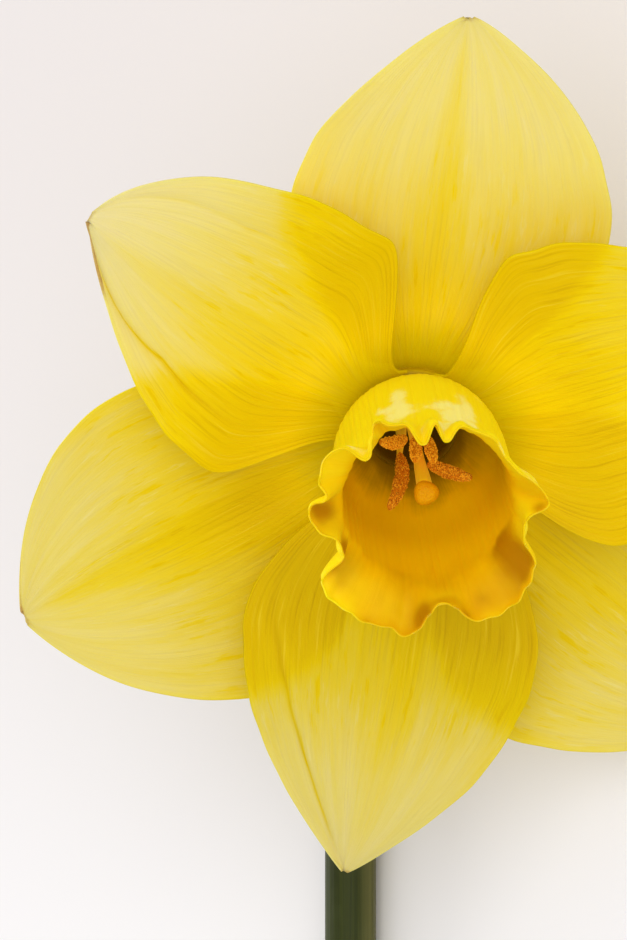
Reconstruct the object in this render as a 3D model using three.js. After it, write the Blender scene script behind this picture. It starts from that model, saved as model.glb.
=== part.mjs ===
// A cut large-cupped daffodil lying on a table: a straight hollow stem, its bent neck with the dry
// sheath, the ovary, the flower tube, six tepals in two whorls, the frilled cup, six stamens and the pistil.
// Units are millimetres and degrees, and +Z is up. The stem lies along Y, and the flower leans over
// until the tip of its lowest tepal meets the table.
import * as THREE from 'three';

const rad = THREE.MathUtils.degToRad;
const { clamp, lerp, smoothstep } = THREE.MathUtils;

// ---------------------------------------------------------------- driving dimensions

// The flower in its own frame: the throat at the origin and its axis along +Z.
const BLADE = 0.8;                 // thickness of a tepal and of the cup's wall
const GAP = 0.3;                   // clearance between neighbouring pieces

const FLOWER_NOD = 21;             // how far the flower's axis leans down
const FLOWER_TURN = 3;             // and how far it turns aside
const THROAT_FROM_STEM = new THREE.Vector3(6.65, 0, 43.5); // with the stem upright and the flower facing +Z

const STEM_LENGTH = 150;           // cut end to the top of the straight stem
const STEM_TOP = -6;               // where the straight stem ends, below the throat
const STEM_WIDE = 3.15;            // half widths of the stem's oval section
const STEM_THIN = 3.1;
const STEM_RIDGE = 0.25;           // height of the two ridges along the stem
const BORE_RADIUS = 1.5;           // the stem is hollow
const BORE_DEPTH = 110;
const STEM_SIDES = 24;

const NECK_RADIUS = 1.9;
const NECK_SHOULDER = 3;           // the straight stem ends this far before the neck's curve starts
const NECK_REACH = [15, 9];        // how far the curve holds its direction at the stem and at the ovary
const NECK_STEPS = 14;

const SHEATH_THICKNESS = 0.6;
const SHEATH_FROM = 0.08;          // from and to, as shares of the neck's length
const SHEATH_TO = 1.4;
const SHEATH_CLASP = 0.32;         // where it stops clasping the neck and starts to open
const SHEATH_STIFFNESS = 0.6;      // 0 follows the neck's bend, 1 goes straight on
const SHEATH_OPENING = 6;          // how much wider its arc grows as it opens
const SHEATH_OPENED = 0.9;         // where it has opened fully
const SHEATH_HALF_ARCS = [150, 42]; // half its arc where it clasps and where it is open
const SHEATH_ROWS = 16;
const SHEATH_COLUMNS = 12;

const OVARY_TOP = -24.3;
const OVARY_LENGTH = 11;
const OVARY_RADIUS = 3.7;
const OVARY_TOP_RADIUS = 2.7;      // as wide as the tube that stands on it
const OVARY_SWELL = [0.12, 0.9];   // its part of a half sine wave, from foot to top
const OVARY_LOBES = 0.05;          // how far its three lobes stand out, as a share of its radius
const OVARY_RINGS = 12;
const OVARY_SIDES = 24;

// The flower tube: radius and height up its outside, then down the nectar bore. The cup stands on its lip.
const TUBE_OUTSIDE = [
  [2.7, -24], [2.9, -20], [3.5, -14], [4.5, -9], [5.8, -6.7],
  [7.6, -5.6], [7.6, -5], [6.4, -4.6], [6.4, -4],  // a collar, then the step that bears the cup
];
const TUBE_BORE = [[4.9, -4], [4.6, -5], [3.6, -9], [2.6, -14], [2.1, -20]];
const TUBE_FLOOR = -21;
const TUBE_SIDES = 32;

// How a tepal leaves the throat. The outer whorl starts lower than the inner one.
const OUTER = { radius: 7.2, height: -4.1, wrap: 44 };
const INNER = { radius: 7.5, height: -1.2, wrap: 48 };
const STEEP = 58;                  // angle to the flower's plane at the very base
const FLARE_LENGTH = 3;            // over which the tepal bends out to its own rise
const WRAP_LENGTH = 6;             // over which its base unwraps from round the tube
const CLAW = 0.33;                 // width at the base over the full width
const TIP_END = 0.985;             // the tip is blunt: the blade stops just short of its point

// azimuth: where it points; left, right: half widths seen from the front with the tip up;
// rise, curl: angle to the flower's plane and its change towards the tip; cup: how its sides lift;
// bend: sideways sweep of the tip; widest, skew: place of the full width and its shift between sides;
// tip, base: how full each side is towards the tip and the base.
const TEPALS = [
  { name: 'tepal_outer_top', whorl: OUTER, azimuth: 86, length: 42, left: 16.8, right: 18.8,
    rise: 4, curl: -2.5, cup: 11, bend: 1, widest: 0.445, skew: 0.01, tip: [0.85, 0.76], base: [1.2, 1.2] },
  { name: 'tepal_outer_left', whorl: OUTER, azimuth: 205, length: 42.5, left: 21, right: 19.4,
    rise: 3, curl: -4, cup: 10, bend: -1.5, widest: 0.45, skew: -0.03, tip: [0.74, 0.75], base: [1.05, 1.05] },
  { name: 'tepal_outer_right', whorl: OUTER, azimuth: 323, length: 46, left: 19, right: 21.8,
    rise: 5, curl: -1.5, cup: 11, bend: 2, widest: 0.46, skew: 0.04, tip: [0.8, 0.8], base: [0.85, 1.2] },
  { name: 'tepal_inner_left', whorl: INNER, azimuth: 149, length: 40.1, left: 14, right: 19.2,
    rise: 13, curl: 0, cup: 13, bend: 5.4, widest: 0.305, skew: 0.04, tip: [1, 0.64], base: [2.2, 2] },
  { name: 'tepal_inner_bottom', whorl: INNER, azimuth: 263, length: 44, left: 17.3, right: 16.7,
    rise: 13, curl: -2, cup: 20, bend: 1.35, widest: 0.36, skew: 0.03, tip: [0.84, 0.93], base: [0.7, 0.95] },
  { name: 'tepal_inner_right', whorl: INNER, azimuth: 21, length: 40.5, left: 18.8, right: 18.5,
    rise: 13.5, curl: 0, cup: 16, bend: -1, widest: 0.32, skew: 0, tip: [0.95, 0.85], base: [1.4, 1.2] },
];
const TEPAL_ON_TABLE = 'tepal_outer_right';
const TEPAL_ROWS = 20;
const TEPAL_COLUMNS = 12;

// The cup, called the corona.
const CUP_BASE_RADIUS = 5.5;
const CUP_WALL_RADIUS = 9.3;
const CUP_SHOULDER = 0.172;        // where the foot has widened most of the way to the wall
const CUP_FLARE = 2.1;             // how far the lip turns out past the wall
const CUP_BOTTOM = -3.6;
const CUP_TOP = 27;
const CUP_LOBES = 10;
const CUP_LOBE_AZIMUTH = 8;
const CUP_LOBE_DEPTH = 1.6;        // radial wave of the lip
const CUP_LOBE_DROP = 1.3;         // height that a lobe loses as it turns out
const CUP_LOBE_CROWD = { turn: 15, azimuth: 150, spread: 45 }; // the lobes stand closer together on one side
const CUP_FLARE_FROM = 0.72;       // where the wall starts to flare, and where it starts to wave
const CUP_WAVE_FROM = 0.6;
const CUP_EASE = 1.25;             // how much its height slows down towards the lip, as the wall turns out
const CUP_COLUMNS = 120;
const CUP_ROWS = 10;

// Each stamen: azimuth, radius and height of its anther's inner end, and of its outer end.
// The filaments stand round the style, and the anthers lean out from them unevenly.
const STAMENS = [
  { inner: [350, 1.75, 8.4], outer: [353, 5.55, 11.2] },
  { inner: [48, 1.8, 5.5], outer: [62, 2.3, 12.9] },
  { inner: [96, 1.75, 5.5], outer: [116, 2.15, 12.6] },
  { inner: [139, 2.2, 4.6], outer: [145, 5.6, 10.4] },
  { inner: [205, 2.2, 5], outer: [222, 4.9, 13.6] },
  { inner: [282, 1.7, 3.5], outer: [281, 2.4, 9.5] },
];
const ANTHER_RADIUS = 0.75;
const ANTHER_GROOVE = 0.18;        // depth of the groove between its two lobes, as a share of its radius
const ANTHER_BLUNT = 0.4;          // how blunt its ends are: 1 is a plain sine, 0 a cylinder
const ANTHER_RINGS = 9;
const ANTHER_SIDES = 10;
const FILAMENT_RADIUS = 0.4;
const FILAMENT_RING = 1.55;        // the filaments stand round the style at this radius
const FILAMENT_FOOT = -13;
const FILAMENT_KNEE = 6;           // a filament turns towards its anther this far below it
const STYLE_RADIUS = 0.6;
const STIGMA_HEIGHT = 17.4;
const STIGMA_RADIUS = 1.35;
const STIGMA_FLATNESS = 0.8;       // its height over its width
const STIGMA_LOBES = 0.06;         // how far its three lobes stand out, as a share of its radius

const COLOURS = {
  tepal_outer: '#ecd85a',
  tepal_inner: '#ead242',
  cup: '#e8bb08',
  tube: '#c9c43a',
  green: '#5d6b2b',
  stem: '#4c5a26',
  sheath: '#a98a5c',
  filament: '#e3c33c',
  anther: '#c9780c',
  stigma: '#d99a1c',
};

// ---------------------------------------------------------------- closed solids from grids of points

/** A closed mesh from its points and its faces, each a triangle or a quad of point numbers. */
function solid(points, faces) {
  const geometry = new THREE.BufferGeometry();
  geometry.setFromPoints(points);
  geometry.setIndex(faces.flatMap(([a, b, c, d]) => (d === undefined ? [a, b, c] : [a, b, c, a, c, d])));
  geometry.computeVertexNormals();
  return geometry;
}

/** A surface's unit normal at (u, v), from its slopes. */
function normalAt(surface, u, v) {
  const step = 1e-4;
  const alongU = surface(u + step, v).sub(surface(u - step, v));
  const alongV = surface(u, v + step).sub(surface(u, v - step));
  return alongU.cross(alongV).normalize();
}

/** A blade: two like faces, half its thickness to each side of surface(u, v), and a rim round them. */
function blade(surface, uValues, vValues, thickness) {
  const columns = vValues.length;
  const rows = uValues.length;
  const points = [];
  for (const side of [0.5, -0.5]) {
    for (const u of uValues) {
      for (const v of vValues) {
        points.push(surface(u, v).addScaledVector(normalAt(surface, u, v), side * thickness));
      }
    }
  }
  const back = rows * columns;
  const faces = [];
  for (let i = 0; i + 1 < rows; i += 1) {
    for (let j = 0; j + 1 < columns; j += 1) {
      const a = i * columns + j;
      const quad = [a, a + columns, a + columns + 1, a + 1];
      faces.push(quad);
      faces.push([quad[0] + back, quad[2] + back, quad[1] + back]);
      faces.push([quad[0] + back, quad[3] + back, quad[2] + back]);
    }
  }
  const rim = [];
  for (let j = 0; j + 1 < columns; j += 1) rim.push(j);
  for (let i = 0; i + 1 < rows; i += 1) rim.push(i * columns + columns - 1);
  for (let j = columns - 1; j > 0; j -= 1) rim.push((rows - 1) * columns + j);
  for (let i = rows - 1; i > 0; i -= 1) rim.push(i * columns);
  rim.forEach((a, k) => {
    const b = rim[(k + 1) % rim.length];
    faces.push([a, b, b + back, a + back]);
  });
  return solid(points, faces);
}

/** A body through rings of points, each ring as long as the others, closed by a fan at both ends. */
function loft(rings) {
  const sides = rings[0].length;
  const points = rings.flat();
  const faces = [];
  for (let i = 0; i + 1 < rings.length; i += 1) {
    for (let j = 0; j < sides; j += 1) {
      const a = i * sides + j;
      const b = i * sides + ((j + 1) % sides);
      faces.push([a, b, b + sides, a + sides]);
    }
  }
  const ends = [rings[0], rings[rings.length - 1]];
  ends.forEach((ring, end) => {
    const centre = ring.reduce((sum, point) => sum.add(point), new THREE.Vector3()).divideScalar(sides);
    const first = end === 0 ? 0 : (rings.length - 1) * sides;
    points.push(centre);
    for (let j = 0; j < sides; j += 1) {
      const a = first + j;
      const b = first + ((j + 1) % sides);
      faces.push(end === 0 ? [b, a, points.length - 1] : [a, b, points.length - 1]);
    }
  });
  return solid(points, faces);
}

/** A ring of points round centre in the plane of two unit vectors, at a radius that may vary by angle. */
function ringOf(centre, across, up, sides, radiusAt) {
  return Array.from({ length: sides }, (_, k) => {
    const angle = (2 * Math.PI * k) / sides;
    const radius = radiusAt(angle);
    return centre.clone()
      .addScaledVector(across, radius * Math.cos(angle))
      .addScaledVector(up, radius * Math.sin(angle));
  });
}

/** A round rod of one radius along a curve. */
function rod(curve, radius, sides, steps) {
  const section = new THREE.Shape(Array.from({ length: sides }, (_, k) => {
    const angle = (2 * Math.PI * k) / sides;
    return new THREE.Vector2(radius * Math.cos(angle), radius * Math.sin(angle));
  }));
  return new THREE.ExtrudeGeometry(section, { extrudePath: curve, steps, bevelEnabled: false });
}

/** A point of the flower, from its azimuth, its radius and its height along the axis. */
function polar(azimuth, radius, height) {
  return new THREE.Vector3(radius * Math.cos(rad(azimuth)), radius * Math.sin(rad(azimuth)), height);
}

function piece(name, geometry, colour, roughness = 0.6) {
  const material = new THREE.MeshStandardMaterial({ color: colour, roughness, metalness: 0 });
  const mesh = new THREE.Mesh(geometry, material);
  mesh.name = name;
  return mesh;
}

// ---------------------------------------------------------------- tepals

/** Share of the full width at u: it swells from the claw to the widest place, then closes to the tip. */
function outline(u, widest, tip, base) {
  if (u < widest) return CLAW + (1 - CLAW) * Math.sin((Math.PI / 2) * Math.max(u / widest, 0)) ** base;
  return Math.sin((Math.PI / 2) * clamp((1 - u) / (1 - widest), 0, 1) ** tip);
}

/** The midrib of a tepal as radius, height and slope at even steps of its length. */
function midrib(tepal) {
  const steps = 400;
  const slopeAt = (u) => rad(tepal.rise + tepal.curl * u * u
    + (STEEP - tepal.rise) * Math.exp((-u * tepal.length) / FLARE_LENGTH));
  const line = [{ radius: tepal.whorl.radius, height: tepal.whorl.height, slope: slopeAt(0) }];
  for (let k = 1; k <= steps; k += 1) {
    const slope = slopeAt((k - 0.5) / steps);
    const last = line[k - 1];
    line.push({
      radius: last.radius + (Math.cos(slope) * tepal.length) / steps,
      height: last.height + (Math.sin(slope) * tepal.length) / steps,
      slope: slopeAt(k / steps),
    });
  }
  return (u) => {
    const k = clamp(u, 0, 1) * steps;
    const i = Math.min(Math.floor(k), steps - 1);
    return {
      radius: lerp(line[i].radius, line[i + 1].radius, k - i),
      height: lerp(line[i].height, line[i + 1].height, k - i),
      slope: slopeAt(u),
    };
  };
}

/**
 * The tepal's middle surface: u runs from base to tip and v from the left edge (-1) to the right (+1).
 * Across the midrib the blade is an arc, tight round the tube at the base and gently cupped further out.
 */
function tepalSurface(tepal) {
  const rib = midrib(tepal);
  const turn = rad(tepal.azimuth);
  return (u, v) => {
    const { radius, height, slope } = rib(u);
    const side = v < 0 ? 0 : 1;
    const halfWidth = side === 0
      ? tepal.left * outline(u, tepal.widest + tepal.skew, tepal.tip[0], tepal.base[0])
      : tepal.right * outline(u, tepal.widest - tepal.skew, tepal.tip[1], tepal.base[1]);
    const arc = rad(tepal.whorl.wrap) * Math.exp((-u * tepal.length) / WRAP_LENGTH)
      + rad(tepal.cup) * Math.sin(Math.PI * clamp(u, 0, 1)) ** 0.7 + 1e-3;
    const across = (halfWidth * Math.sin(arc * v)) / arc + tepal.bend * u * u;
    const lift = (halfWidth * (1 - Math.cos(arc * v))) / arc;
    const out = radius - lift * Math.sin(slope);
    return new THREE.Vector3(
      out * Math.cos(turn) + across * Math.sin(turn),
      out * Math.sin(turn) - across * Math.cos(turn),
      height + lift * Math.cos(slope),
    );
  };
}

function tepalPiece(tepal) {
  // The rows stand closer together at the base and the tip, where the outline turns most.
  const rows = Array.from({ length: TEPAL_ROWS + 1 }, (_, i) => {
    const t = i / TEPAL_ROWS;
    return TIP_END * (0.5 * t + 0.25 * (1 - Math.cos(Math.PI * t)));
  });
  const columns = Array.from({ length: TEPAL_COLUMNS + 1 }, (_, j) => (2 * j) / TEPAL_COLUMNS - 1);
  const colour = tepal.whorl === OUTER ? COLOURS.tepal_outer : COLOURS.tepal_inner;
  return piece(tepal.name, blade(tepalSurface(tepal), rows, columns, BLADE), colour, 0.5);
}

// ---------------------------------------------------------------- cup

/** The lip's wave at an azimuth, from -1 in a fold to +1 on a lobe, with the lobes a little uneven. */
function lobeWave(angle) {
  const degrees = THREE.MathUtils.radToDeg(angle);
  const { turn, azimuth, spread } = CUP_LOBE_CROWD;
  const crowd = turn * Math.exp(-(((degrees - azimuth) / spread) ** 2));
  return Math.cos(rad(CUP_LOBES * (degrees - CUP_LOBE_AZIMUTH + crowd)));
}

/** The cup's middle surface: t runs from its base to its lip. */
function cupSurface(t, turns) {
  const angle = 2 * Math.PI * (turns - Math.floor(turns));
  const frill = smoothstep(t, CUP_WAVE_FROM, 1.05);
  const flare = Math.max(t - CUP_FLARE_FROM, 0) / (1 - CUP_FLARE_FROM);
  const widened = 1 - Math.exp(-((Math.max(t, 0) / CUP_SHOULDER) ** 2.5));
  const radius = lerp(CUP_BASE_RADIUS, CUP_WALL_RADIUS, widened)
    + CUP_FLARE * flare ** 1.8 + frill * CUP_LOBE_DEPTH * lobeWave(angle);
  const rise = 1 - Math.max(1 - t, 0) ** CUP_EASE;
  const height = lerp(CUP_BOTTOM, CUP_TOP, rise) - frill * CUP_LOBE_DROP * (1 + lobeWave(angle)) / 2;
  return new THREE.Vector3(radius * Math.cos(angle), radius * Math.sin(angle), height);
}

function cupPiece() {
  const points = [];
  const section = 2 * (CUP_ROWS + 1);
  for (let j = 0; j < CUP_COLUMNS; j += 1) {
    const turns = j / CUP_COLUMNS;
    for (const side of [0.5, -0.5]) {
      for (let i = 0; i <= CUP_ROWS; i += 1) {
        const t = side > 0 ? i / CUP_ROWS : 1 - i / CUP_ROWS;
        const out = normalAt(cupSurface, t, turns).negate();
        points.push(cupSurface(t, turns).addScaledVector(out, side * BLADE));
      }
    }
  }
  const faces = [];
  for (let j = 0; j < CUP_COLUMNS; j += 1) {
    for (let i = 0; i < section; i += 1) {
      const next = (i + 1) % section;
      const a = j * section;
      const b = ((j + 1) % CUP_COLUMNS) * section;
      faces.push([a + i, b + i, b + next, a + next]);
    }
  }
  return piece('corona', solid(points, faces), COLOURS.cup, 0.5);
}

// ---------------------------------------------------------------- stamens and pistil

function stamenPieces(stamen, number) {
  const [azimuth, , height] = stamen.inner;
  const inner = polar(...stamen.inner);
  const outer = polar(...stamen.outer);
  const axis = outer.clone().sub(inner);
  const length = axis.length();
  axis.normalize();
  const sideways = new THREE.Vector3().crossVectors(axis, polar(azimuth, 1, 0)).normalize();
  const upwards = new THREE.Vector3().crossVectors(axis, sideways);

  // The anther: two lobes with a groove between them, round at both ends.
  const rings = Array.from({ length: ANTHER_RINGS }, (_, i) => {
    const t = lerp(0.02, 0.98, i / (ANTHER_RINGS - 1));
    const fullness = Math.sin(Math.PI * t) ** ANTHER_BLUNT;
    const centre = inner.clone().addScaledVector(axis, t * length);
    return ringOf(centre, sideways, upwards, ANTHER_SIDES,
      (angle) => ANTHER_RADIUS * fullness * (1 - ANTHER_GROOVE * (1 - Math.cos(2 * angle))));
  });
  const anther = piece(`anther_${number}`, loft(rings), COLOURS.anther, 0.9);

  const foot = polar(azimuth, FILAMENT_RING, FILAMENT_FOOT);
  const knee = polar(azimuth, FILAMENT_RING, height - FILAMENT_KNEE);
  const top = inner.clone().addScaledVector(axis, -GAP);
  const curve = new THREE.CatmullRomCurve3([foot, knee, top]);
  const filament = piece(`filament_${number}`, rod(curve, FILAMENT_RADIUS, 8, 6), COLOURS.filament);
  return [filament, anther];
}

function pistilPieces() {
  const foot = new THREE.Vector3(0, 0, TUBE_FLOOR + 2 * GAP);
  const top = new THREE.Vector3(0, 0, STIGMA_HEIGHT - STIGMA_FLATNESS * STIGMA_RADIUS - GAP);
  const style = piece('style', rod(new THREE.LineCurve3(foot, top), STYLE_RADIUS, 10, 4), COLOURS.filament);

  const knob = new THREE.SphereGeometry(STIGMA_RADIUS, 18, 12);
  const position = knob.getAttribute('position');
  const point = new THREE.Vector3();
  for (let k = 0; k < position.count; k += 1) {
    point.fromBufferAttribute(position, k);
    const round = Math.hypot(point.x, point.z) / STIGMA_RADIUS;
    const lobes = 1 + STIGMA_LOBES * round * Math.cos(3 * Math.atan2(point.z, point.x));
    position.setXYZ(k, point.x * lobes, point.y * STIGMA_FLATNESS, point.z * lobes);
  }
  const stigma = piece('stigma', knob, COLOURS.stigma, 0.7);
  stigma.rotation.x = Math.PI / 2;
  stigma.position.z = STIGMA_HEIGHT;
  return [style, stigma];
}

// ---------------------------------------------------------------- tube and ovary

function tubePiece() {
  const profile = [[0, OVARY_TOP + GAP], ...TUBE_OUTSIDE, ...TUBE_BORE, [0, TUBE_FLOOR]]
    .map(([radius, height]) => new THREE.Vector2(radius, height));
  const tube = piece('tube', new THREE.LatheGeometry(profile, TUBE_SIDES), COLOURS.tube);
  tube.rotation.x = Math.PI / 2;
  return tube;
}

function ovaryPiece() {
  const across = new THREE.Vector3(1, 0, 0);
  const up = new THREE.Vector3(0, 1, 0);
  const rings = Array.from({ length: OVARY_RINGS }, (_, i) => {
    const t = i / (OVARY_RINGS - 1);
    const swell = Math.sin(Math.PI * lerp(...OVARY_SWELL, t)) ** 0.6;
    const centre = new THREE.Vector3(0, 0, OVARY_TOP - OVARY_LENGTH * (1 - t));
    const radius = lerp(lerp(NECK_RADIUS, OVARY_TOP_RADIUS, t), OVARY_RADIUS, swell);
    return ringOf(centre, across, up, OVARY_SIDES,
      (angle) => radius * (1 + OVARY_LOBES * swell * Math.cos(3 * angle)));
  });
  return piece('ovary', loft(rings), COLOURS.green);
}

// ---------------------------------------------------------------- the flower, leaned over

const flower = new THREE.Group();
flower.rotation.set(rad(FLOWER_NOD), rad(FLOWER_TURN), 0, 'YXZ');
flower.position.copy(THROAT_FROM_STEM);
flower.add(tubePiece(), ovaryPiece(), cupPiece(), ...TEPALS.map(tepalPiece), ...pistilPieces());
STAMENS.forEach((stamen, k) => flower.add(...stamenPieces(stamen, k + 1)));

// Upright, the stem's axis is the line x = z = 0. Everything rolls about it until the flower touches.
const plant = new THREE.Group();
plant.add(flower);
plant.updateMatrixWorld(true);

/** The roll at which the lowest tepal meets the table, on which the stem lies. */
function restRoll() {
  const tepal = flower.getObjectByName(TEPAL_ON_TABLE);
  const position = tepal.geometry.getAttribute('position');
  const point = new THREE.Vector3();
  let roll = Infinity;
  for (let k = 0; k < position.count; k += 1) {
    point.fromBufferAttribute(position, k).applyMatrix4(tepal.matrixWorld);
    const reach = Math.hypot(point.x, point.z);
    roll = Math.min(roll, Math.atan2(point.z, point.x) + Math.asin(STEM_THIN / reach));
  }
  return roll;
}
plant.rotation.y = restRoll();

// ---------------------------------------------------------------- stem and sheath

/** The neck's curve, from the top of the straight stem round to the ovary. */
const flowerAxis = new THREE.Vector3(0, 0, 1).applyEuler(flower.rotation);
const neckEnd = THROAT_FROM_STEM.clone().addScaledVector(flowerAxis, OVARY_TOP - OVARY_LENGTH - GAP);
const neckStart = new THREE.Vector3(0, STEM_TOP, 0);
const neck = new THREE.CubicBezierCurve3(
  neckStart,
  neckStart.clone().add(new THREE.Vector3(0, NECK_REACH[0], 0)),
  neckEnd.clone().addScaledVector(flowerAxis, -NECK_REACH[1]),
  neckEnd,
);
const neckLength = neck.getLength();

/** Radius of the stem's oval section, with a ridge along each narrow edge. */
function stemRadius(angle) {
  const oval = (STEM_WIDE * STEM_THIN) / Math.hypot(STEM_THIN * Math.cos(angle), STEM_WIDE * Math.sin(angle));
  return oval + STEM_RIDGE * Math.max(Math.cos(2 * angle), 0) ** 6;
}

/** Two unit vectors across the stem: to its side, and to the back, away from the flower. */
function stemFrame(along) {
  const side = new THREE.Vector3(1, 0, 0).addScaledVector(along, -along.x).normalize();
  return { side, back: new THREE.Vector3().crossVectors(along, side) };
}

/** A ring round the stem or neck. Its wide axis lies flat on the table once the plant has rolled over. */
function stemRing(centre, along, radiusAt) {
  const roll = plant.rotation.y;
  const { side, back } = stemFrame(along);
  const across = side.clone().multiplyScalar(Math.cos(roll)).addScaledVector(back, -Math.sin(roll));
  const up = side.clone().multiplyScalar(Math.sin(roll)).addScaledVector(back, Math.cos(roll));
  return ringOf(centre, across, up, STEM_SIDES, radiusAt);
}

/** The hollow stem and its bent neck: from the bore's end to the cut end, then outside up to the ovary. */
function stemPiece() {
  const along = new THREE.Vector3(0, 1, 0);
  const cutEnd = STEM_TOP - STEM_LENGTH;
  const shoulder = STEM_TOP - NECK_SHOULDER;
  const straight = [
    [cutEnd + BORE_DEPTH, () => BORE_RADIUS],
    [cutEnd, () => BORE_RADIUS],
    [cutEnd, stemRadius],
    [lerp(cutEnd, shoulder, 0.5), stemRadius],
    [shoulder, stemRadius],
  ].map(([y, radiusAt]) => stemRing(new THREE.Vector3(0, y, 0), along, radiusAt));
  const bent = Array.from({ length: NECK_STEPS + 1 }, (_, k) => {
    const slim = smoothstep(k, -1, 1);
    const radiusAt = (angle) => lerp(stemRadius(angle), NECK_RADIUS, slim);
    return stemRing(neck.getPoint(k / NECK_STEPS), neck.getTangent(k / NECK_STEPS), radiusAt);
  });
  return piece('stem', loft([...straight, ...bent]), COLOURS.stem, 0.5);
}

/** The sheath's line: along the neck while it clasps it, then less bent than the neck. */
function sheathLine(t) {
  const alongNeck = neck.getPoint(Math.min(t, 1))
    .addScaledVector(flowerAxis, Math.max(t - 1, 0) * neckLength);
  const straightOn = neck.getPoint(SHEATH_CLASP)
    .addScaledVector(neck.getTangent(SHEATH_CLASP), (t - SHEATH_CLASP) * neckLength);
  return alongNeck.lerp(straightOn, SHEATH_STIFFNESS * smoothstep(t, SHEATH_CLASP, SHEATH_TO));
}

/** The dry sheath: a sleeve round the foot of the neck that opens into a pointed hood behind the ovary. */
function sheathPiece() {
  const snug = NECK_RADIUS + GAP + SHEATH_THICKNESS / 2;
  const surface = (u, v) => {
    const t = lerp(SHEATH_FROM, SHEATH_TO, u);
    const { side, back } = stemFrame(sheathLine(t + 0.01).sub(sheathLine(t - 0.01)).normalize());
    const opened = smoothstep(t, SHEATH_CLASP, SHEATH_OPENED);
    const radius = snug + SHEATH_OPENING * opened;
    const taper = Math.max(1 - u ** 4, 0.02);
    const angle = v * rad(lerp(...SHEATH_HALF_ARCS, opened)) * taper;
    return sheathLine(t)
      .addScaledVector(back, snug - radius + radius * Math.cos(angle))
      .addScaledVector(side, radius * Math.sin(angle));
  };
  const rows = Array.from({ length: SHEATH_ROWS + 1 }, (_, i) => i / SHEATH_ROWS);
  const columns = Array.from({ length: SHEATH_COLUMNS + 1 }, (_, j) => (2 * j) / SHEATH_COLUMNS - 1);
  return piece('sheath', blade(surface, rows, columns, SHEATH_THICKNESS), COLOURS.sheath, 0.8);
}

plant.add(stemPiece(), sheathPiece());

// ---------------------------------------------------------------- at rest on the table

const daffodil = new THREE.Group();
daffodil.add(plant);
daffodil.updateMatrixWorld(true);
const box = new THREE.Box3().setFromObject(daffodil, true);
const middle = box.getCenter(new THREE.Vector3());
daffodil.position.set(-middle.x, -middle.y, -box.min.z);

export default daffodil;
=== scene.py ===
"""A cut large-cupped daffodil at rest on a plain pale floor, with the camera that looks into its cup.

Every piece is a surface worked out in millimetres, most of them in the flower's own frame: the throat at
the origin and the flower's axis along +Z. LEAN and THROAT carry a piece to the plant's frame, where the stem
is upright along +Y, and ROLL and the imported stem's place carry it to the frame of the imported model.
"""
import math
from collections import namedtuple

import bpy
import numpy as np
from bpy.props import FloatProperty, FloatVectorProperty, IntProperty, PointerProperty
from mathutils import Matrix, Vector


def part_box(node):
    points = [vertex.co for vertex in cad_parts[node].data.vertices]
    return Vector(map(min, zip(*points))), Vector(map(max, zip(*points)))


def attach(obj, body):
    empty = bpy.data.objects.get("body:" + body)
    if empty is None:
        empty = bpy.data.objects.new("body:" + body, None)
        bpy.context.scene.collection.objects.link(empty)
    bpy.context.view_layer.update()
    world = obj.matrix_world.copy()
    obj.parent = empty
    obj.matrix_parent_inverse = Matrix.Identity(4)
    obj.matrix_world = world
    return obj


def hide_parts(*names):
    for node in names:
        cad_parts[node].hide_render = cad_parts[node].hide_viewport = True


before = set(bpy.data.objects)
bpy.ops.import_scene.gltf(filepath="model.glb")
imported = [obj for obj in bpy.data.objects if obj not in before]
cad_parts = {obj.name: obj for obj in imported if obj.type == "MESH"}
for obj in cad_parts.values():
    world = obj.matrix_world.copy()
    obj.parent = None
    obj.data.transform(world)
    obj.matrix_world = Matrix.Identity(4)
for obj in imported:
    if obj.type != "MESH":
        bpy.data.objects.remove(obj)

bl_info = {
    "name": "Daffodil",
    "version": (1, 0, 0),
    "blender": (4, 5, 0),
    "location": "3D View > Sidebar > Daffodil",
    "description": "Makes the pieces of a cut daffodil and the stage that it lies on",
    "category": "Add Mesh",
}

MM = 0.001

# ------------------------------------------------------------------ frames


def turned(axis, degrees):
    """The matrix that turns a point about the X or Y axis."""
    c, s = math.cos(math.radians(degrees)), math.sin(math.radians(degrees))
    if axis == "X":
        return np.array([[1, 0, 0], [0, c, -s], [0, s, c]])
    return np.array([[c, 0, s], [0, 1, 0], [-s, 0, c]])


LEAN = turned("Y", 3) @ turned("X", 21)        # the flower nods, and turns a little aside
THROAT = np.array([6.65, 0, 43.5])
ROLL = turned("Y", 37.07811)                   # rolled over until the lowest tepal meets the floor
STEM_TOP = -6
STEM_LENGTH = 150
STEM_WIDE = 3.15
STEM_THIN = 3.1
STEM_RIDGE = 0.25

stem_low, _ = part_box("stem")
STEM_AT = np.array([
    stem_low.x + (STEM_WIDE + STEM_RIDGE) * MM,
    stem_low.y + (STEM_LENGTH - STEM_TOP) * MM,
    stem_low.z + STEM_THIN * MM,
])


def from_plant(points):
    """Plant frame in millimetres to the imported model's frame in metres."""
    return points @ ROLL.T * MM + STEM_AT


def from_flower(points):
    """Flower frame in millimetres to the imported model's frame in metres."""
    return from_plant(points @ LEAN.T + THROAT)


# -------------------------------------------------------- shape of the flower, millimetres and degrees

Whorl = namedtuple("Whorl", "radius height wrap")
OUTER = Whorl(7.2, -4.1, 44)
INNER = Whorl(7.5, -1.2, 48)
STEEP = 58            # angle to the flower's plane at the foot of a tepal
FLARE_LENGTH = 3      # over which it bends out to its own rise
WRAP_LENGTH = 6       # over which its foot unwraps from round the tube
CLAW = 0.33           # width at the foot over the full width

# A crease or fold: its places along the tepal, the side place at each, its depth and its half width.
Crease = namedtuple("Crease", "along aside depth width step")

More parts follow.
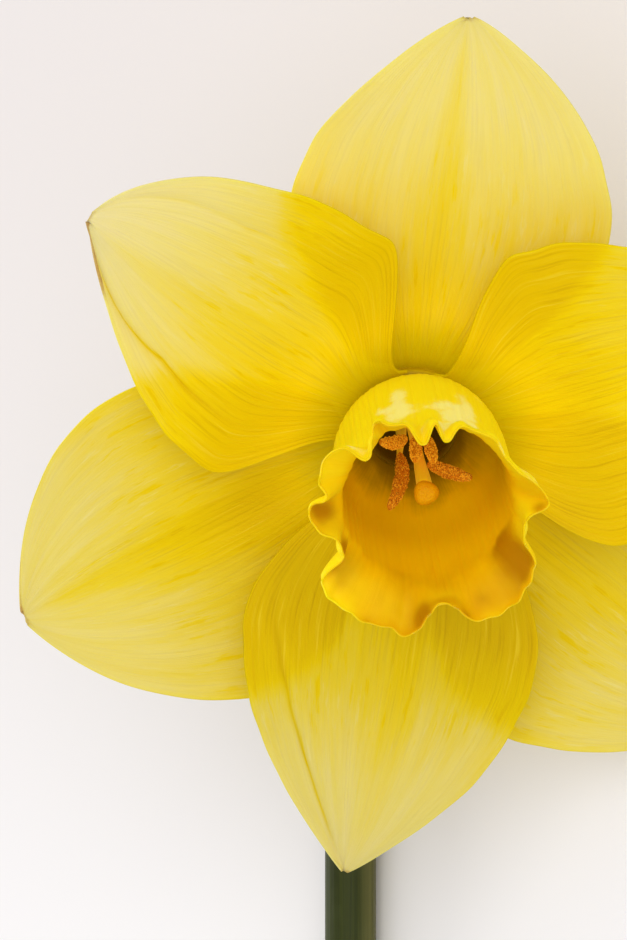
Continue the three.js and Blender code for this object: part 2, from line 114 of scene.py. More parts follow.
# tone: depth of yellow at the foot, a third of the way, three quarters of the way and the tip.
# shade: painted shade, how much darker the tepal is painted than the brightest tepal, as it lies in less
# light.
# band: strength, side place and half width of the darker band along the middle.
# dry: how brown the margin by the tip is, how far it reaches in millimetres and on which side.
Tepal = namedtuple(
    "Tepal",
    "node whorl azimuth length left right rise curl cup bend widest skew "
    "tip base seed tone shade band dry creases"
)
TEPALS = (
    Tepal(
        node="tepal_outer_top", whorl=OUTER, azimuth=86,
        length=42, left=16.8, right=18.8,
        rise=4, curl=-2.5, cup=11, bend=1,
        widest=0.445, skew=0.01, tip=(0.85, 0.76), base=(1.2, 1.2), seed=11,
        tone=(0.90, 0.50, 0.24, 0.20), shade=0.1, band=(0.16, 0.0, 0.10), dry=(0, 1, 1),
        creases=(),
    ),
    Tepal(
        node="tepal_outer_left", whorl=OUTER, azimuth=205,
        length=42.5, left=21, right=19.4,
        rise=3, curl=-4, cup=10, bend=-1.5,
        widest=0.45, skew=-0.03, tip=(0.74, 0.75), base=(1.05, 1.05), seed=23,
        tone=(0.80, 0.66, 0.32, 0.22), shade=0.3, band=(0.26, 0.0, 0.20), dry=(0.35, 4, 1),
        creases=(),
    ),
    Tepal(
        node="tepal_outer_right", whorl=OUTER, azimuth=323,
        length=46, left=19, right=21.8,
        rise=5, curl=-1.5, cup=11, bend=2,
        widest=0.46, skew=0.04, tip=(0.8, 0.8), base=(0.85, 1.2), seed=35,
        tone=(0.84, 0.62, 0.34, 0.26), shade=0.3, band=(0.12, 0.05, 0.16), dry=(0.3, 3, 1),
        creases=(),
    ),
    Tepal(
        node="tepal_inner_left", whorl=INNER, azimuth=149,
        length=40.1, left=14, right=19.2,
        rise=13, curl=0, cup=13, bend=5.4,
        widest=0.305, skew=0.04, tip=(1, 0.64), base=(2.2, 2), seed=47,
        tone=(0.86, 0.60, 0.22, 0.02), shade=0.1, band=(0.10, -0.02, 0.16), dry=(0.7, 8, -1),
        creases=(
            Crease((0.25, 0.6, 1), (-0.6, -0.6, -1), 0.5, 0.6, 0.4),
            Crease((0.3, 0.6, 1), (0.65, 0.65, 0.8), 0.12, 0.5, 0.1),
        ),
    ),
    Tepal(
        node="tepal_inner_bottom", whorl=INNER, azimuth=263,
        length=44, left=17.3, right=16.7,
        rise=13, curl=-2, cup=20, bend=1.35,
        widest=0.36, skew=0.03, tip=(0.84, 0.93), base=(0.7, 0.95), seed=59,
        tone=(0.94, 0.70, 0.28, 0.14), shade=0.6, band=(0.16, -0.16, 0.14), dry=(0.1, 4, -1),
        creases=(
            Crease((0.1, 0.5, 1), (0.9, 0.7, 0.5), 0.4, 0.6, -0.3),
        ),
    ),
    Tepal(
        node="tepal_inner_right", whorl=INNER, azimuth=21,
        length=40.5, left=18.8, right=18.5,
        rise=13.5, curl=0, cup=16, bend=-1,
        widest=0.32, skew=0, tip=(0.95, 0.85), base=(1.4, 1.2), seed=61,
        tone=(0.88, 0.76, 0.46, 0.30), shade=0, band=(0.06, 0.0, 0.15), dry=(0.3, 4, 1),
        creases=(),
    ),
)
TEPAL_FOOT = 0.05     # share of its length by which a tepal reaches under the cup
TEPAL_ROWS = 140
TEPAL_COLUMNS = 121

CUP_BASE_RADIUS = 5.5
CUP_WALL_RADIUS = 9.3
CUP_SHOULDER = 0.172
CUP_FLARE = 2.1
CUP_EASE = 1.25
CUP_BOTTOM = -3.6
CUP_TOP = 27
# The lip is a round edge that turns out further on its lower side, with lobes and folds laid on it.
# Each has its azimuth, how far it stands out (or in, below 0), and its half width towards lower and higher
# azimuths.
LIP_RADIUS = 12.3
LIP_DROOP = 1.1
LIP_DROOP_AZIMUTH = 230
LIP_START = -13
LIP_STEPS = 360
LipTurn = namedtuple("LipTurn", "azimuth reach before after")
LIP_TURNS = (
    LipTurn(11, 1.0, 4, 10),
    LipTurn(40, -0.7, 12, 12),
    LipTurn(83, -1.9, 5, 5),
    LipTurn(98, -2.3, 6, 6),
    LipTurn(119, 0.8, 3, 4),
    LipTurn(134, -2.0, 8, 4),
    LipTurn(146, 1.0, 8, 10),
    LipTurn(166, -1.1, 4, 5),
    LipTurn(198, -3.6, 13, 9),
    LipTurn(214, 0.5, 4, 12),
    LipTurn(250, -0.4, 5, 5),
    LipTurn(278, -4.4, 11, 12),
    LipTurn(318, 0.7, 16, 16),
    LipTurn(358, -2.2, 16, 8),
)
# Tints on the cup: azimuth, half width in degrees, from and to along the wall, and strength.
Tint = namedtuple("Tint", "azimuth spread low high strength")
# Painted shade: the inner wall darkened in the folds and hollows by the lip.
PAINTED_FOLD_SHADOWS = (
    Tint(178, 22, 0.75, 1.1, 0.35),
    Tint(216, 13, 0.72, 0.96, 0.4),
    Tint(255, 26, 0.65, 1.1, 0.28),
    Tint(331, 15, 0.66, 1.02, 0.9),
    Tint(268, 5, 0.86, 1.1, 0.9),
    Tint(201, 6, 0.8, 1.1, 0.7),
    Tint(178, 6, 0.82, 1.0, 0.5),
    Tint(301, 5, 0.82, 0.95, 0.4),
    Tint(7, 3, 0.9, 1.1, 0.6),
    Tint(239, 5, 0.96, 1.1, 0.4),
    Tint(290, 3, 0.93, 1.1, 0.6),
)
# Painted highlights: lit ridges and rims on the inner wall by the lip.
PAINTED_LIGHTS = (
    Tint(221, 18, 0.965, 1.1, 0.9),
    Tint(281, 12, 0.8, 0.93, 0.5),
    Tint(256, 4, 0.8, 1.0, 0.35),
    Tint(248, 4, 0.8, 1.0, 0.3),
    Tint(303, 6, 0.95, 1.1, 0.5),
)
# Painted highlights: pale lit patches on the outside by the lip.
PAINTED_PALE_LIGHTS = (
    Tint(107, 6, 0.38, 0.7, 0.9),
    Tint(116, 8, 0.5, 0.9, 0.9),
    Tint(74, 12, 0.5, 0.9, 0.9),
    Tint(62, 7, 0.4, 0.85, 0.8),
    Tint(140, 8, 0.86, 1.0, 1.0),
    Tint(96, 4, 0.8, 1.0, 0.5),
    Tint(85, 3, 0.75, 1.0, 0.5),
    Tint(50, 7, 0.8, 1.1, 0.9),
    Tint(25, 6, 0.85, 1.1, 0.5),
)
# The lower side of the lip is painted in shade, while the lip's inner face elsewhere is painted lit: the
# lower side's middle and its half width.
LOWER_SIDE_AZIMUTH = -71.6
LOWER_SIDE_SPREAD = 55
CUP_COLUMNS = 540
CUP_ROWS = 84

# Each anther: azimuth, radius and height of its inner end and of its outer end, its radius over the common
# one, and how far its middle bows out of line in the flower's frame.
Stamen = namedtuple("Stamen", "inner outer stoutness bow")
STAMENS = (
    Stamen((350, 1.75, 8.4), (353, 5.55, 11.2), 0.86, (0, -0.15, 0.2)),
    Stamen((48, 1.8, 5.5), (62, 2.3, 12.9), 1.05, (0, 0, 0.4)),
    Stamen((96, 1.75, 5.5), (116, 2.15, 12.6), 1.05, (0, 0, 0.4)),
    Stamen((139, 2.2, 4.6), (145, 5.6, 10.4), 0.84, (0.1, 0.1, 1.2)),
    Stamen((205, 2.2, 5), (222, 4.9, 13.6), 1.2, (0.7, 0.1, 0.1)),
    Stamen((282, 1.7, 3.5), (281, 2.4, 9.5), 0.88, (0, 0, 0.3)),
)
FILAMENT_RING = 1.55
FILAMENT_FOOT = -13
FILAMENT_KNEE = 6
STIGMA_HEIGHT = 17.4
OVARY_TOP = -24.3
OVARY_LENGTH = 11
TUBE_FLOOR = -21
NECK_RADIUS = 1.9
BORE_RADIUS = 1.5
BORE_DEPTH = 110
GAP = 0.3

# ------------------------------------------------------------------ numbers and lines


def smooth(x, low, high):
    """0 below low, 1 above high, and a smooth step between. low may be the greater, for a step down."""
    t = np.clip((x - low) / (high - low), 0, 1)
    return t * t * (3 - 2 * t)


def lerp(a, b, t):
    return a + (b - a) * t


def ripples(x, seed, slowest, fastest, count=6):
    """A seeded smooth wave of x, mostly within -1 to 1: a sum of sines whose rates are whole numbers of waves
    per unit of x, so that it closes on itself round a ring."""
    rng = np.random.default_rng(seed)
    rates = rng.integers(slowest, fastest + 1, count)
    starts = rng.uniform(0, 2 * np.pi, count)
    sizes = rng.uniform(0.5, 1, count)
    waves = np.sin(2 * np.pi * np.multiply.outer(np.asarray(x), rates) + starts)
    return waves @ sizes / sizes.sum() * 1.6


def unit(vectors):
    return vectors / np.maximum(np.linalg.norm(vectors, axis=-1, keepdims=True), 1e-12)


def closed_spline(knots, count):
    """A smooth closed line through the knots at even steps of length. Each piece is a cubic that leaves and
    meets its knots along the line between their neighbours."""
    step = np.linalg.norm(np.roll(knots, -1, 0) - knots, axis=1)
    at = np.concatenate([[0], np.cumsum(step)])
    slopes = (np.roll(knots, -1, 0) - np.roll(knots, 1, 0)) / (step + np.roll(step, 1))[:, None]
    s = np.linspace(0, at[-1], count, endpoint=False)
    k = np.clip(np.searchsorted(at, s, side="right") - 1, 0, len(knots) - 1)
    n = (k + 1) % len(knots)
    w = ((s - at[k]) / step[k])[:, None]
    h = step[k][:, None]
    return ((2 * w**3 - 3 * w**2 + 1) * knots[k] + (w**3 - 2 * w**2 + w) * h * slopes[k]
            + (3 * w**2 - 2 * w**3) * knots[n] + (w**3 - w**2) * h * slopes[n])


def polar(azimuth, radius, height):
    angle = math.radians(azimuth)
    return np.array([radius * math.cos(angle), radius * math.sin(angle), height])


# ------------------------------------------------------------------ meshes from grids


def grid_faces(rows, columns, closed=False, first=0):
    """Quads between neighbouring rows and columns of points. They face along (row step) x (column step).
    A closed grid also joins its last column to its first."""
    i = np.arange(rows - 1)[:, None]
    j = np.arange(columns if closed else columns - 1)[None]
    a = first + i * columns + j
    b = first + i * columns + (j + 1) % columns
    return np.stack([a, a + columns, b + columns, b], -1).reshape(-1, 4)


def blade_faces(rows, columns):
    """Faces of a blade: a front grid, a back grid turned over, and a rim that joins their borders."""
    front = grid_faces(rows, columns)
    back = front[:, ::-1] + rows * columns
    index = np.arange(rows * columns).reshape(rows, columns)
    border = np.concatenate([index[0, :-1], index[:-1, -1], index[-1, :0:-1], index[:0:-1, 0]])
    after = np.roll(border, -1)
    rim = np.stack([border, after, after + rows * columns, border + rows * columns], -1)
    return np.concatenate([front, back, rim])


def blade_points(middle, thickness):
    """The front and back grids of a blade, half its thickness to each side of its middle surface."""
    along = np.gradient(middle, axis=0)
    across = np.gradient(middle, axis=1)
    normal = unit(np.cross(along, across))
    half = (0.5 * thickness)[..., None] * normal
    return np.concatenate([(middle + half).reshape(-1, 3), (middle - half).reshape(-1, 3)])


def ring_grid(centres, across, up, radius, angles):
    """Rings of points: a profile carried along a path. Row i is round centres[i] in the plane of across[i]
    and up[i], at radius[i, j] in the direction of angles[j]."""
    c, s = (radius * np.cos(angles))[..., None], (radius * np.sin(angles))[..., None]
    return centres[:, None] + c * across[:, None] + s * up[:, None]


def loft_faces(rows, columns):
    """A closed body through rings of points, with a fan to one more point at each end. The rings run
    counter-clockwise round the path, seen against it."""
    sides = grid_faces(rows, columns, closed=True)[:, ::-1]
    j = np.arange(columns)
    n = (j + 1) % columns
    last = (rows - 1) * columns
    start = np.stack([n, j, np.full(columns, rows * columns)], -1)
    end = np.stack([last + j, last + n, np.full(columns, rows * columns + 1)], -1)
    return sides, np.concatenate([start, end])


def loft_points(rings):
    return np.concatenate([rings.reshape(-1, 3), rings[0].mean(0)[None], rings[-1].mean(0)[None]])


def loft_field(values):
    """A value at each ring point, and the end rings' means at the two fans' points."""
    return np.concatenate([values.ravel(), [values[0].mean(), values[-1].mean()]])


def make_piece(name, points, faces, finish, nodes, uv=None, fields=None):
    """A mesh object from points in metres and lists of face arrays, riding on the flower's one body.
    uv and each field give a value at every point."""
    mesh = bpy.data.meshes.new(name)
    corners = np.concatenate([f.ravel() for f in faces]).astype(np.int32)
    sizes = np.concatenate([np.full(len(f), f.shape[1]) for f in faces])
    mesh.vertices.add(len(points))
    mesh.vertices.foreach_set("co", points.astype(np.float32).ravel())
    mesh.loops.add(len(corners))
    mesh.loops.foreach_set("vertex_index", corners)
    mesh.polygons.add(len(sizes))
    mesh.polygons.foreach_set("loop_start", np.concatenate([[0], np.cumsum(sizes)[:-1]]).astype(np.int32))
    mesh.update(calc_edges=True)
    if mesh.validate():
        raise RuntimeError(f"{name} has faces that Blender had to mend")
    mesh.polygons.foreach_set("use_smooth", np.ones(len(sizes), bool))
    if uv is not None:
        layer = mesh.uv_layers.new(name="surface")
        layer.data.foreach_set("uv", uv[corners].astype(np.float32).ravel())
    for key, values in (fields or {}).items():
        mesh.attributes.new(key, "FLOAT", "POINT").data.foreach_set("value", values.astype(np.float32))
    mesh.materials.append(finish.material)
    piece = bpy.data.objects.new(name, mesh)
    bpy.context.scene.collection.objects.link(piece)
    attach(piece, "root")
    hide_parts(*nodes)
    return piece


# ------------------------------------------------------------------ materials


def srgb(red, green, blue):
    """A linear colour from display values of 0 to 255."""
    shown = np.array([red, green, blue]) / 255
    return tuple(np.where(shown <= 0.04045, shown / 12.92, ((shown + 0.055) / 1.055) ** 2.4).tolist())


class Wire:
    """A node's output. + - * / and ** on it add Math nodes, so a mask is written as an expression."""

    def __init__(self, finish, socket):
        self.finish = finish
        self.socket = socket

    def math(self, operation, *values):
        return self.finish.node("ShaderNodeMath", {"operation": operation}, dict(enumerate(values)))

    def __add__(self, other):
        return self.math("ADD", self, other)

    def __radd__(self, other):
        return self.math("ADD", other, self)

    def __sub__(self, other):
        return self.math("SUBTRACT", self, other)

    def __rsub__(self, other):
        return self.math("SUBTRACT", other, self)

    def __mul__(self, other):
        return self.math("MULTIPLY", self, other)

    def __rmul__(self, other):
        return self.math("MULTIPLY", other, self)

    def __truediv__(self, other):
        return self.math("DIVIDE", self, other)

    def __rtruediv__(self, other):
        return self.math("DIVIDE", other, self)

    def __pow__(self, other):
        return self.math("POWER", self, other)

    def step(self, low, high):
        """0 below low, 1 above high, and a smooth step between. low may be the greater."""
        if low > high:
            return 1 - self.step(high, low)
        return self.finish.node("ShaderNodeMapRange", {"interpolation_type": "SMOOTHSTEP"},
                                {"Value": self, "From Min": low, "From Max": high})


class Finish:
    """A material with one Principled shader, whose fixed numbers stand on its own sockets."""

    def __init__(self, name, fixed):
        self.material = bpy.data.materials.new(name)
        self.material.use_nodes = True
        self.tree = self.material.node_tree
        self.tree.nodes.clear()
        output = self.tree.nodes.new("ShaderNodeOutputMaterial")
        self.shader = self.tree.nodes.new("ShaderNodeBsdfPrincipled")
        self.tree.links.new(self.shader.outputs["BSDF"], output.inputs["Surface"])
        for key, value in fixed.items():
            self.shader.inputs[key].default_value = value

    def connect(self, socket, value):
        if isinstance(value, Wire):
            self.tree.links.new(value.socket, socket)
        elif socket.type == "RGBA":
            socket.default_value = (*value, 1)[:4]
        else:
            socket.default_value = value

    def node(self, kind, settings=None, values=None, output=0):
        """Any node: its type, its settings, its sockets' values or links, and which output to hand back."""
        made = self.tree.nodes.new(kind)
        for key, setting in (settings or {}).items():
            if key == "stops":
                while len(made.color_ramp.elements) < len(setting):
                    made.color_ramp.elements.new(1)
                for element, (place, colour) in zip(made.color_ramp.elements, setting):
                    element.position = place
                    element.color = (*colour, 1)
            else:
                setattr(made, key, setting)
        for key, value in (values or {}).items():
            self.connect(made.inputs[key], value)
        return Wire(self, made.outputs[output])

    def field(self, name):
        return self.node("ShaderNodeAttribute", {"attribute_name": name}, output="Fac")

    def uv(self, across, along):
        """The piece's UV map, stretched by the two scales."""
        flat = self.node("ShaderNodeUVMap", {"uv_map": "surface"})
        return self.node("ShaderNodeMapping", None, {"Vector": flat, "Scale": (across, along, 1)})

    def place(self):
        return self.node("ShaderNodeTexCoord", output="Object")

    def noise(self, where, scale, detail=2, roughness=0.5):
        return self.node("ShaderNodeTexNoise", None, {
            "Vector": where, "Scale": scale, "Detail": detail, "Roughness": roughness, "Distortion": 0})

    def ramp(self, value, stops):
        return self.node("ShaderNodeValToRGB", {"stops": stops}, {"Fac": value})

    def mix(self, share, first, second, blend="MIX"):
        return self.node("ShaderNodeMix", {"data_type": "RGBA", "blend_type": blend},
                         {0: share, 6: first, 7: second}, output=2)

    def bump(self, height, depth):
        """Surface relief: height 0 to 1 stands for a depth in millimetres."""
        return self.node("ShaderNodeBump", None,
                         {"Height": height, "Distance": depth * MM, "Strength": 1})

    def complete(self, **sockets):
        """Gives the shader's varying sockets their values, and hands the finish back."""
        for key, value in sockets.items():
            self.connect(self.shader.inputs[key.replace("_", " ")], value)
        return self


# ------------------------------------------------------------------ settings


def length_property(name, description, millimetres):
    return FloatProperty(name=name, description=description, default=millimetres * MM, min=0,
                         subtype="DISTANCE", unit="LENGTH", precision=5)


def colour_property(name, description, red, green, blue):
    return FloatVectorProperty(name=name, description=description, default=srgb(red, green, blue),
                               min=0, max=1, subtype="COLOR", size=3)


def share_property(name, description, value):
    return FloatProperty(name=name, description=description, default=value, min=0, max=4, subtype="FACTOR")


class DaffodilTepals(bpy.types.PropertyGroup):
    """Sizes and colours of the six tepals."""

    blade: length_property("Blade", "Thickness of a tepal in its middle", 0.5)
    wave: length_property("Wave", "How far the margins wave up and down", 0.7)
    rib: length_property("Midrib", "Depth of the channel along the middle", 0.28)
    roll: length_property("Rolled margin", "How far the very edge turns up", 0.1)
    vein: length_property("Veins", "Depth of the fine veins", 0.035)
    pale: colour_property("Pale", "Colour towards the tip", 234, 222, 160)
    lemon: colour_property("Lemon", "Colour of the open blade", 235, 219, 118)
    yellow: colour_property("Yellow", "Colour towards the cup", 236, 212, 50)
    gold: colour_property("Gold", "Colour beside the cup", 237, 208, 1)
    # Deep gold is reached beside the cup, and as painted shade where tepals overlap and along creases.
    deep: colour_property("Deep gold", "Colour where two tepals overlap", 228, 194, 0)
    green: colour_property("Green", "Tint at the foot", 150, 146, 0)
    brown: colour_property("Brown", "Dry tip and margin", 184, 146, 84)
    glow: share_property("Glow", "Share of the light that passes into the blade", 0.35)
    through: share_property("Through light", "Light that comes through the foot from behind", 0.2)


class DaffodilCup(bpy.types.PropertyGroup):
    """Sizes and colours of the cup."""

    wall: length_property("Wall", "Thickness of the cup's wall", 0.5)
    teeth: length_property("Teeth", "Depth of the fine teeth along the lip", 0.4)
    crinkle: length_property("Crinkles", "Depth of the flutes that run over the lip", 0.42)
    pleat: length_property("Pleats", "Depth of the pleats down the wall", 0.16)
    outside: colour_property("Outside", "Colour of the outer wall", 250, 222, 14)
    # Painted highlights: the pale patches stand for the lip's frills catching light.
    patches: colour_property("Pale patches", "Pale patches near the lip", 253, 240, 140)
    inside: colour_property("Inside", "Colour of the inner wall", 248, 206, 2)
    # Painted shade: the fold colour is used for the lower lip, the lobes' pockets and the rim.
    shade: colour_property("Folds", "Colour of the inner wall by the lower lip and in its folds", 222, 172, 1)
    # The throat's olive is partly its own colour and partly painted shade deep in the cup.
    throat: colour_property("Throat", "Colour deep in the cup", 164, 132, 4)
    # Painted shade: the colour of the deepest folds by the lip.
    hollow: colour_property("Hollows", "Colour of the deepest folds by the lip", 190, 132, 1)
    glow: share_property("Glow", "Share of the light that passes into the wall", 0.8)
    through: share_property("Through light", "Light that comes through the wall from behind", 0.075)


class DaffodilHeart(bpy.types.PropertyGroup):
    """Sizes and colours of the stamens and the pistil."""

    anther_radius: length_property("Anther", "Radius of an anther", 0.86)
    filament_radius: length_property("Filament", "Radius of a filament", 0.4)
    style_radius: length_property("Style", "Radius of the style", 0.6)
    stigma_radius: length_property("Stigma", "Radius of the stigma", 1.35)
    grain_radius: length_property("Grain", "Radius of a clump of pollen", 0.085)
    grains: IntProperty(name="Grains", description="Clumps of pollen on one anther", default=900, min=0,
                        max=3000)
    anther: colour_property("Anther", "Colour between the grains", 206, 122, 5)
    pollen: colour_property("Pollen", "Colour of the pollen", 246, 182, 36)
    filament: colour_property("Filament", "Colour of the filaments and the style", 250, 204, 30)
    stigma: colour_property("Stigma", "Colour of the stigma", 236, 170, 6)
    through: share_property("Through light", "Light that reaches the stamens through the cup's wall", 0.3)


class DaffodilGreens(bpy.types.PropertyGroup):
    """Sizes and colours of the stem, the neck, the ovary, the tube and the sheath."""

    striation: length_property("Striation", "Depth of the fine lines along the stem", 0.05)
    sheath: length_property("Sheath", "Thickness of the dry sheath", 0.35)
    stem: colour_property("Stem", "Colour of the stem", 40, 46, 8)
    bloom: colour_property("Bloom", "Waxy bloom on the stem", 118, 128, 84)
    flesh: colour_property("Flesh", "Cut end of the stem", 176, 186, 112)
    ovary: colour_property("Ovary", "Colour of the ovary", 84, 102, 34)
    tube: colour_property("Tube", "Colour of the flower tube's upper half", 196, 186, 52)
    paper: colour_property("Paper", "Colour of the dry sheath", 186, 152, 102)
    fibre: colour_property("Fibre", "Veins of the dry sheath", 122, 88, 50)


class DaffodilStage(bpy.types.PropertyGroup):
    """The floor, the light and the camera."""

    # Painted light: the floor is painted darker beyond the flower and lighter by the stem, as the light falls
    # off.
    floor: colour_property("Floor", "Colour of the floor beyond the flower", 228, 223, 223)
    near: colour_property("Near floor", "Colour of the floor by the stem", 246, 246, 248)
    sky: FloatProperty(name="Sky", description="Strength of the even light from all round", default=0.74,
                       min=0)
    key: FloatProperty(name="Key", description="Power of the large soft light above", default=4.0, min=0,
                       subtype="POWER", unit="POWER")
    back: FloatProperty(name="Back", description="Power of the light behind the tepals", default=2.5, min=0,
                        subtype="POWER", unit="POWER")
    lens: FloatProperty(name="Lens", description="Focal length of the camera", default=0.1443, min=0.01,
                        subtype="DISTANCE", unit="LENGTH")


# ------------------------------------------------------------------ tepals


def outline(u, widest, tip, base):
    """Share of the full width along a tepal. It swells from the claw as a quarter sine raised to base, and
    closes to the tip as a quarter sine of the distance left raised to tip."""
    swell = CLAW + (1 - CLAW) * np.sin(np.pi / 2 * np.clip(u / widest, 0, 1)) ** base
    close = np.sin(np.pi / 2 * np.clip((1 - u) / (1 - widest), 0, 1) ** tip)
    return np.where(u < widest, swell, close)


def half_width(tepal, u, left):
    """Half width of a tepal along u, on its left side where left is true."""
    on_left = tepal.left * outline(u, tepal.widest + tepal.skew, tepal.tip[0], tepal.base[0])
    on_right = tepal.right * outline(u, tepal.widest - tepal.skew, tepal.tip[1], tepal.base[1])
    return np.where(left, on_left, on_right)


def midrib(tepal):
    """The midrib in the plane of the flower's axis: even steps of u, and radius, height and slope there. The
    slope starts steep and eases out to the tepal's rise, plus its curl times u squared; radius and height add
    up its cosine and sine."""
    def slope_at(u):
        steepness = (STEEP - tepal.rise) * np.exp(-np.maximum(u, 0) * tepal.length / FLARE_LENGTH)
        return np.radians(tepal.rise + tepal.curl * u * u + steepness)

    u = np.linspace(-TEPAL_FOOT, 1, 421)
    slope = slope_at(0.5 * (u[1:] + u[:-1]))
    step = tepal.length * (u[1] - u[0])
    radius = np.concatenate([[0], np.cumsum(np.cos(slope) * step)])
    height = np.concatenate([[0], np.cumsum(np.sin(slope) * step)])
    radius += tepal.whorl.radius - np.interp(0, u, radius)
    height += tepal.whorl.height - np.interp(0, u, height)
    return u, radius, height, slope_at(u)


def crease_at(crease, u, v, half):
    """Relief of a crease: a valley along its line, as a bell of the distance to it, and a step of the blade
    beyond it that fades in over two widths."""
    aside = np.interp(u, crease.along, crease.aside)
    apart = (v - aside) * half
    fade = smooth(u, crease.along[0], crease.along[1]) * smooth(u, 1, 0.9)
    valley = -crease.depth * np.exp(-((apart / crease.width) ** 2))
    beyond = crease.step * smooth(apart * np.sign(aside), 0, 4 * crease.width)
    return fade * (valley + beyond)


def crease_shade(crease, u, v, half):
    """How near a point lies to the bottom of a crease, from 0 to 1, times the crease's depth: painted shade
    along the crease.
    """
    apart = (v - np.interp(u, crease.along, crease.aside)) * half
    fade = smooth(u, crease.along[0], crease.along[1]) * smooth(u, 0.97, 0.8)
    return fade * crease.depth * np.exp(-((apart / (0.5 * crease.width)) ** 2))


def tepal_sheet(tepal, settings):
    """A tepal's middle surface on a grid, with where each point lies.

    u runs from foot to tip and v from the left edge (-1) to the right (+1). The midrib bends from the
    tube out to the tepal's rise. Across it the blade is an arc of the half width, tight round the tube at
    the foot and gently cupped further out. Its relief is added along the blade's own up direction: a
    channel along the midrib, soft plaits beside it, waves that grow with the third power of v, creases
    and a turned-up edge."""
    t = np.linspace(0, 1, TEPAL_ROWS)[:, None]
    u = lerp(-TEPAL_FOOT, 0.996, 0.5 * t + 0.25 * (1 - np.cos(np.pi * t)))
    v = np.sin(1.2 * np.linspace(-1, 1, TEPAL_COLUMNS))[None] / np.sin(1.2)
    u, v = np.broadcast_arrays(u, v)
    line_u, line_radius, line_height, line_slope = midrib(tepal)
    radius, height, slope = (np.interp(u, line_u, line) for line in (line_radius, line_height, line_slope))
    side = np.sign(v)
    uneven = (1 + 0.008 * ripples(u, tepal.seed, 2, 9) * (v < 0)
              + 0.008 * ripples(u, tepal.seed + 1, 2, 9) * (v > 0))
    half = half_width(tepal, u, v < 0) * uneven
    arc = (math.radians(tepal.whorl.wrap) * np.exp(-np.maximum(u, 0) * tepal.length / WRAP_LENGTH)
           + math.radians(tepal.cup) * np.sin(np.pi * np.clip(u, 0, 1)) ** 0.7 + 1e-3)
    across = half * np.sin(arc * v) / arc
    edge = half * (1 - np.abs(v))

    wave = settings.wave / MM * np.abs(v) ** 3 * smooth(u, 0.05, 0.4) * (
        np.where(side < 0, ripples(0.5 * u, tepal.seed + 2, 2, 7), ripples(0.5 * u, tepal.seed + 3, 2, 7)))
    sway = 0.35 * ripples(0.5 * u + 0.17 * v, tepal.seed + 4, 1, 3, 3) * smooth(u, 0.1, 0.5)
    channel = -settings.rib / MM * np.exp(-((across / 1.5) ** 2)) * smooth(u, 1, 0.7) * smooth(u, 0, 0.2)
    plaits = 0.07 * np.cos(across / 0.62) * np.exp(-np.abs(across) / 5) * smooth(u, 1, 0.6)
    fine = 0.03 * ripples(v / 2 + 0.5, tepal.seed + 5, 12, 34, 8) * smooth(u, 1, 0.7)
    turned_up = settings.roll / MM * np.exp(-((edge / 0.55) ** 2)) * smooth(u, 0.08, 0.3)
    creases = sum((crease_at(crease, u, v, half) for crease in tepal.creases), np.zeros_like(u))
    relief = wave + sway + channel + plaits + fine + turned_up + creases

    lift = half * (1 - np.cos(arc * v)) / arc + relief
    out = radius - lift * np.sin(slope)
    across = across + tepal.bend * u * u
    c, s = math.cos(math.radians(tepal.azimuth)), math.sin(math.radians(tepal.azimuth))
    points = np.stack([out * c + across * s, out * s - across * c, height + lift * np.cos(slope)], -1)
    return points, u, v, half, edge


def cover_of(points, other):
    """How far inside another tepal's outline each point lies, seen from in front of the flower, in
    millimetres. A point is moved along the view by its height over the other's midrib before it is
    compared."""
    c, s = math.cos(math.radians(other.azimuth)), math.sin(math.radians(other.azimuth))
    line_u, line_radius, line_height, _ = midrib(other)
    back = LEAN.T @ np.array([0, 0, 1.0])
    behind = points
    for _ in range(2):
        out = behind[..., 0] * c + behind[..., 1] * s
        drop = points[..., 2] - np.interp(out, line_radius, line_height)
        behind = points - (drop / back[2])[..., None] * back
    out = behind[..., 0] * c + behind[..., 1] * s
    u = np.interp(out, line_radius, line_u, left=-1, right=2)
    across = behind[..., 0] * s - behind[..., 1] * c - other.bend * u * u
    inside = half_width(other, np.clip(u, 0, 1), across < 0) - np.abs(across)
    return np.where((u > 0) & (u < 1), inside, -9)


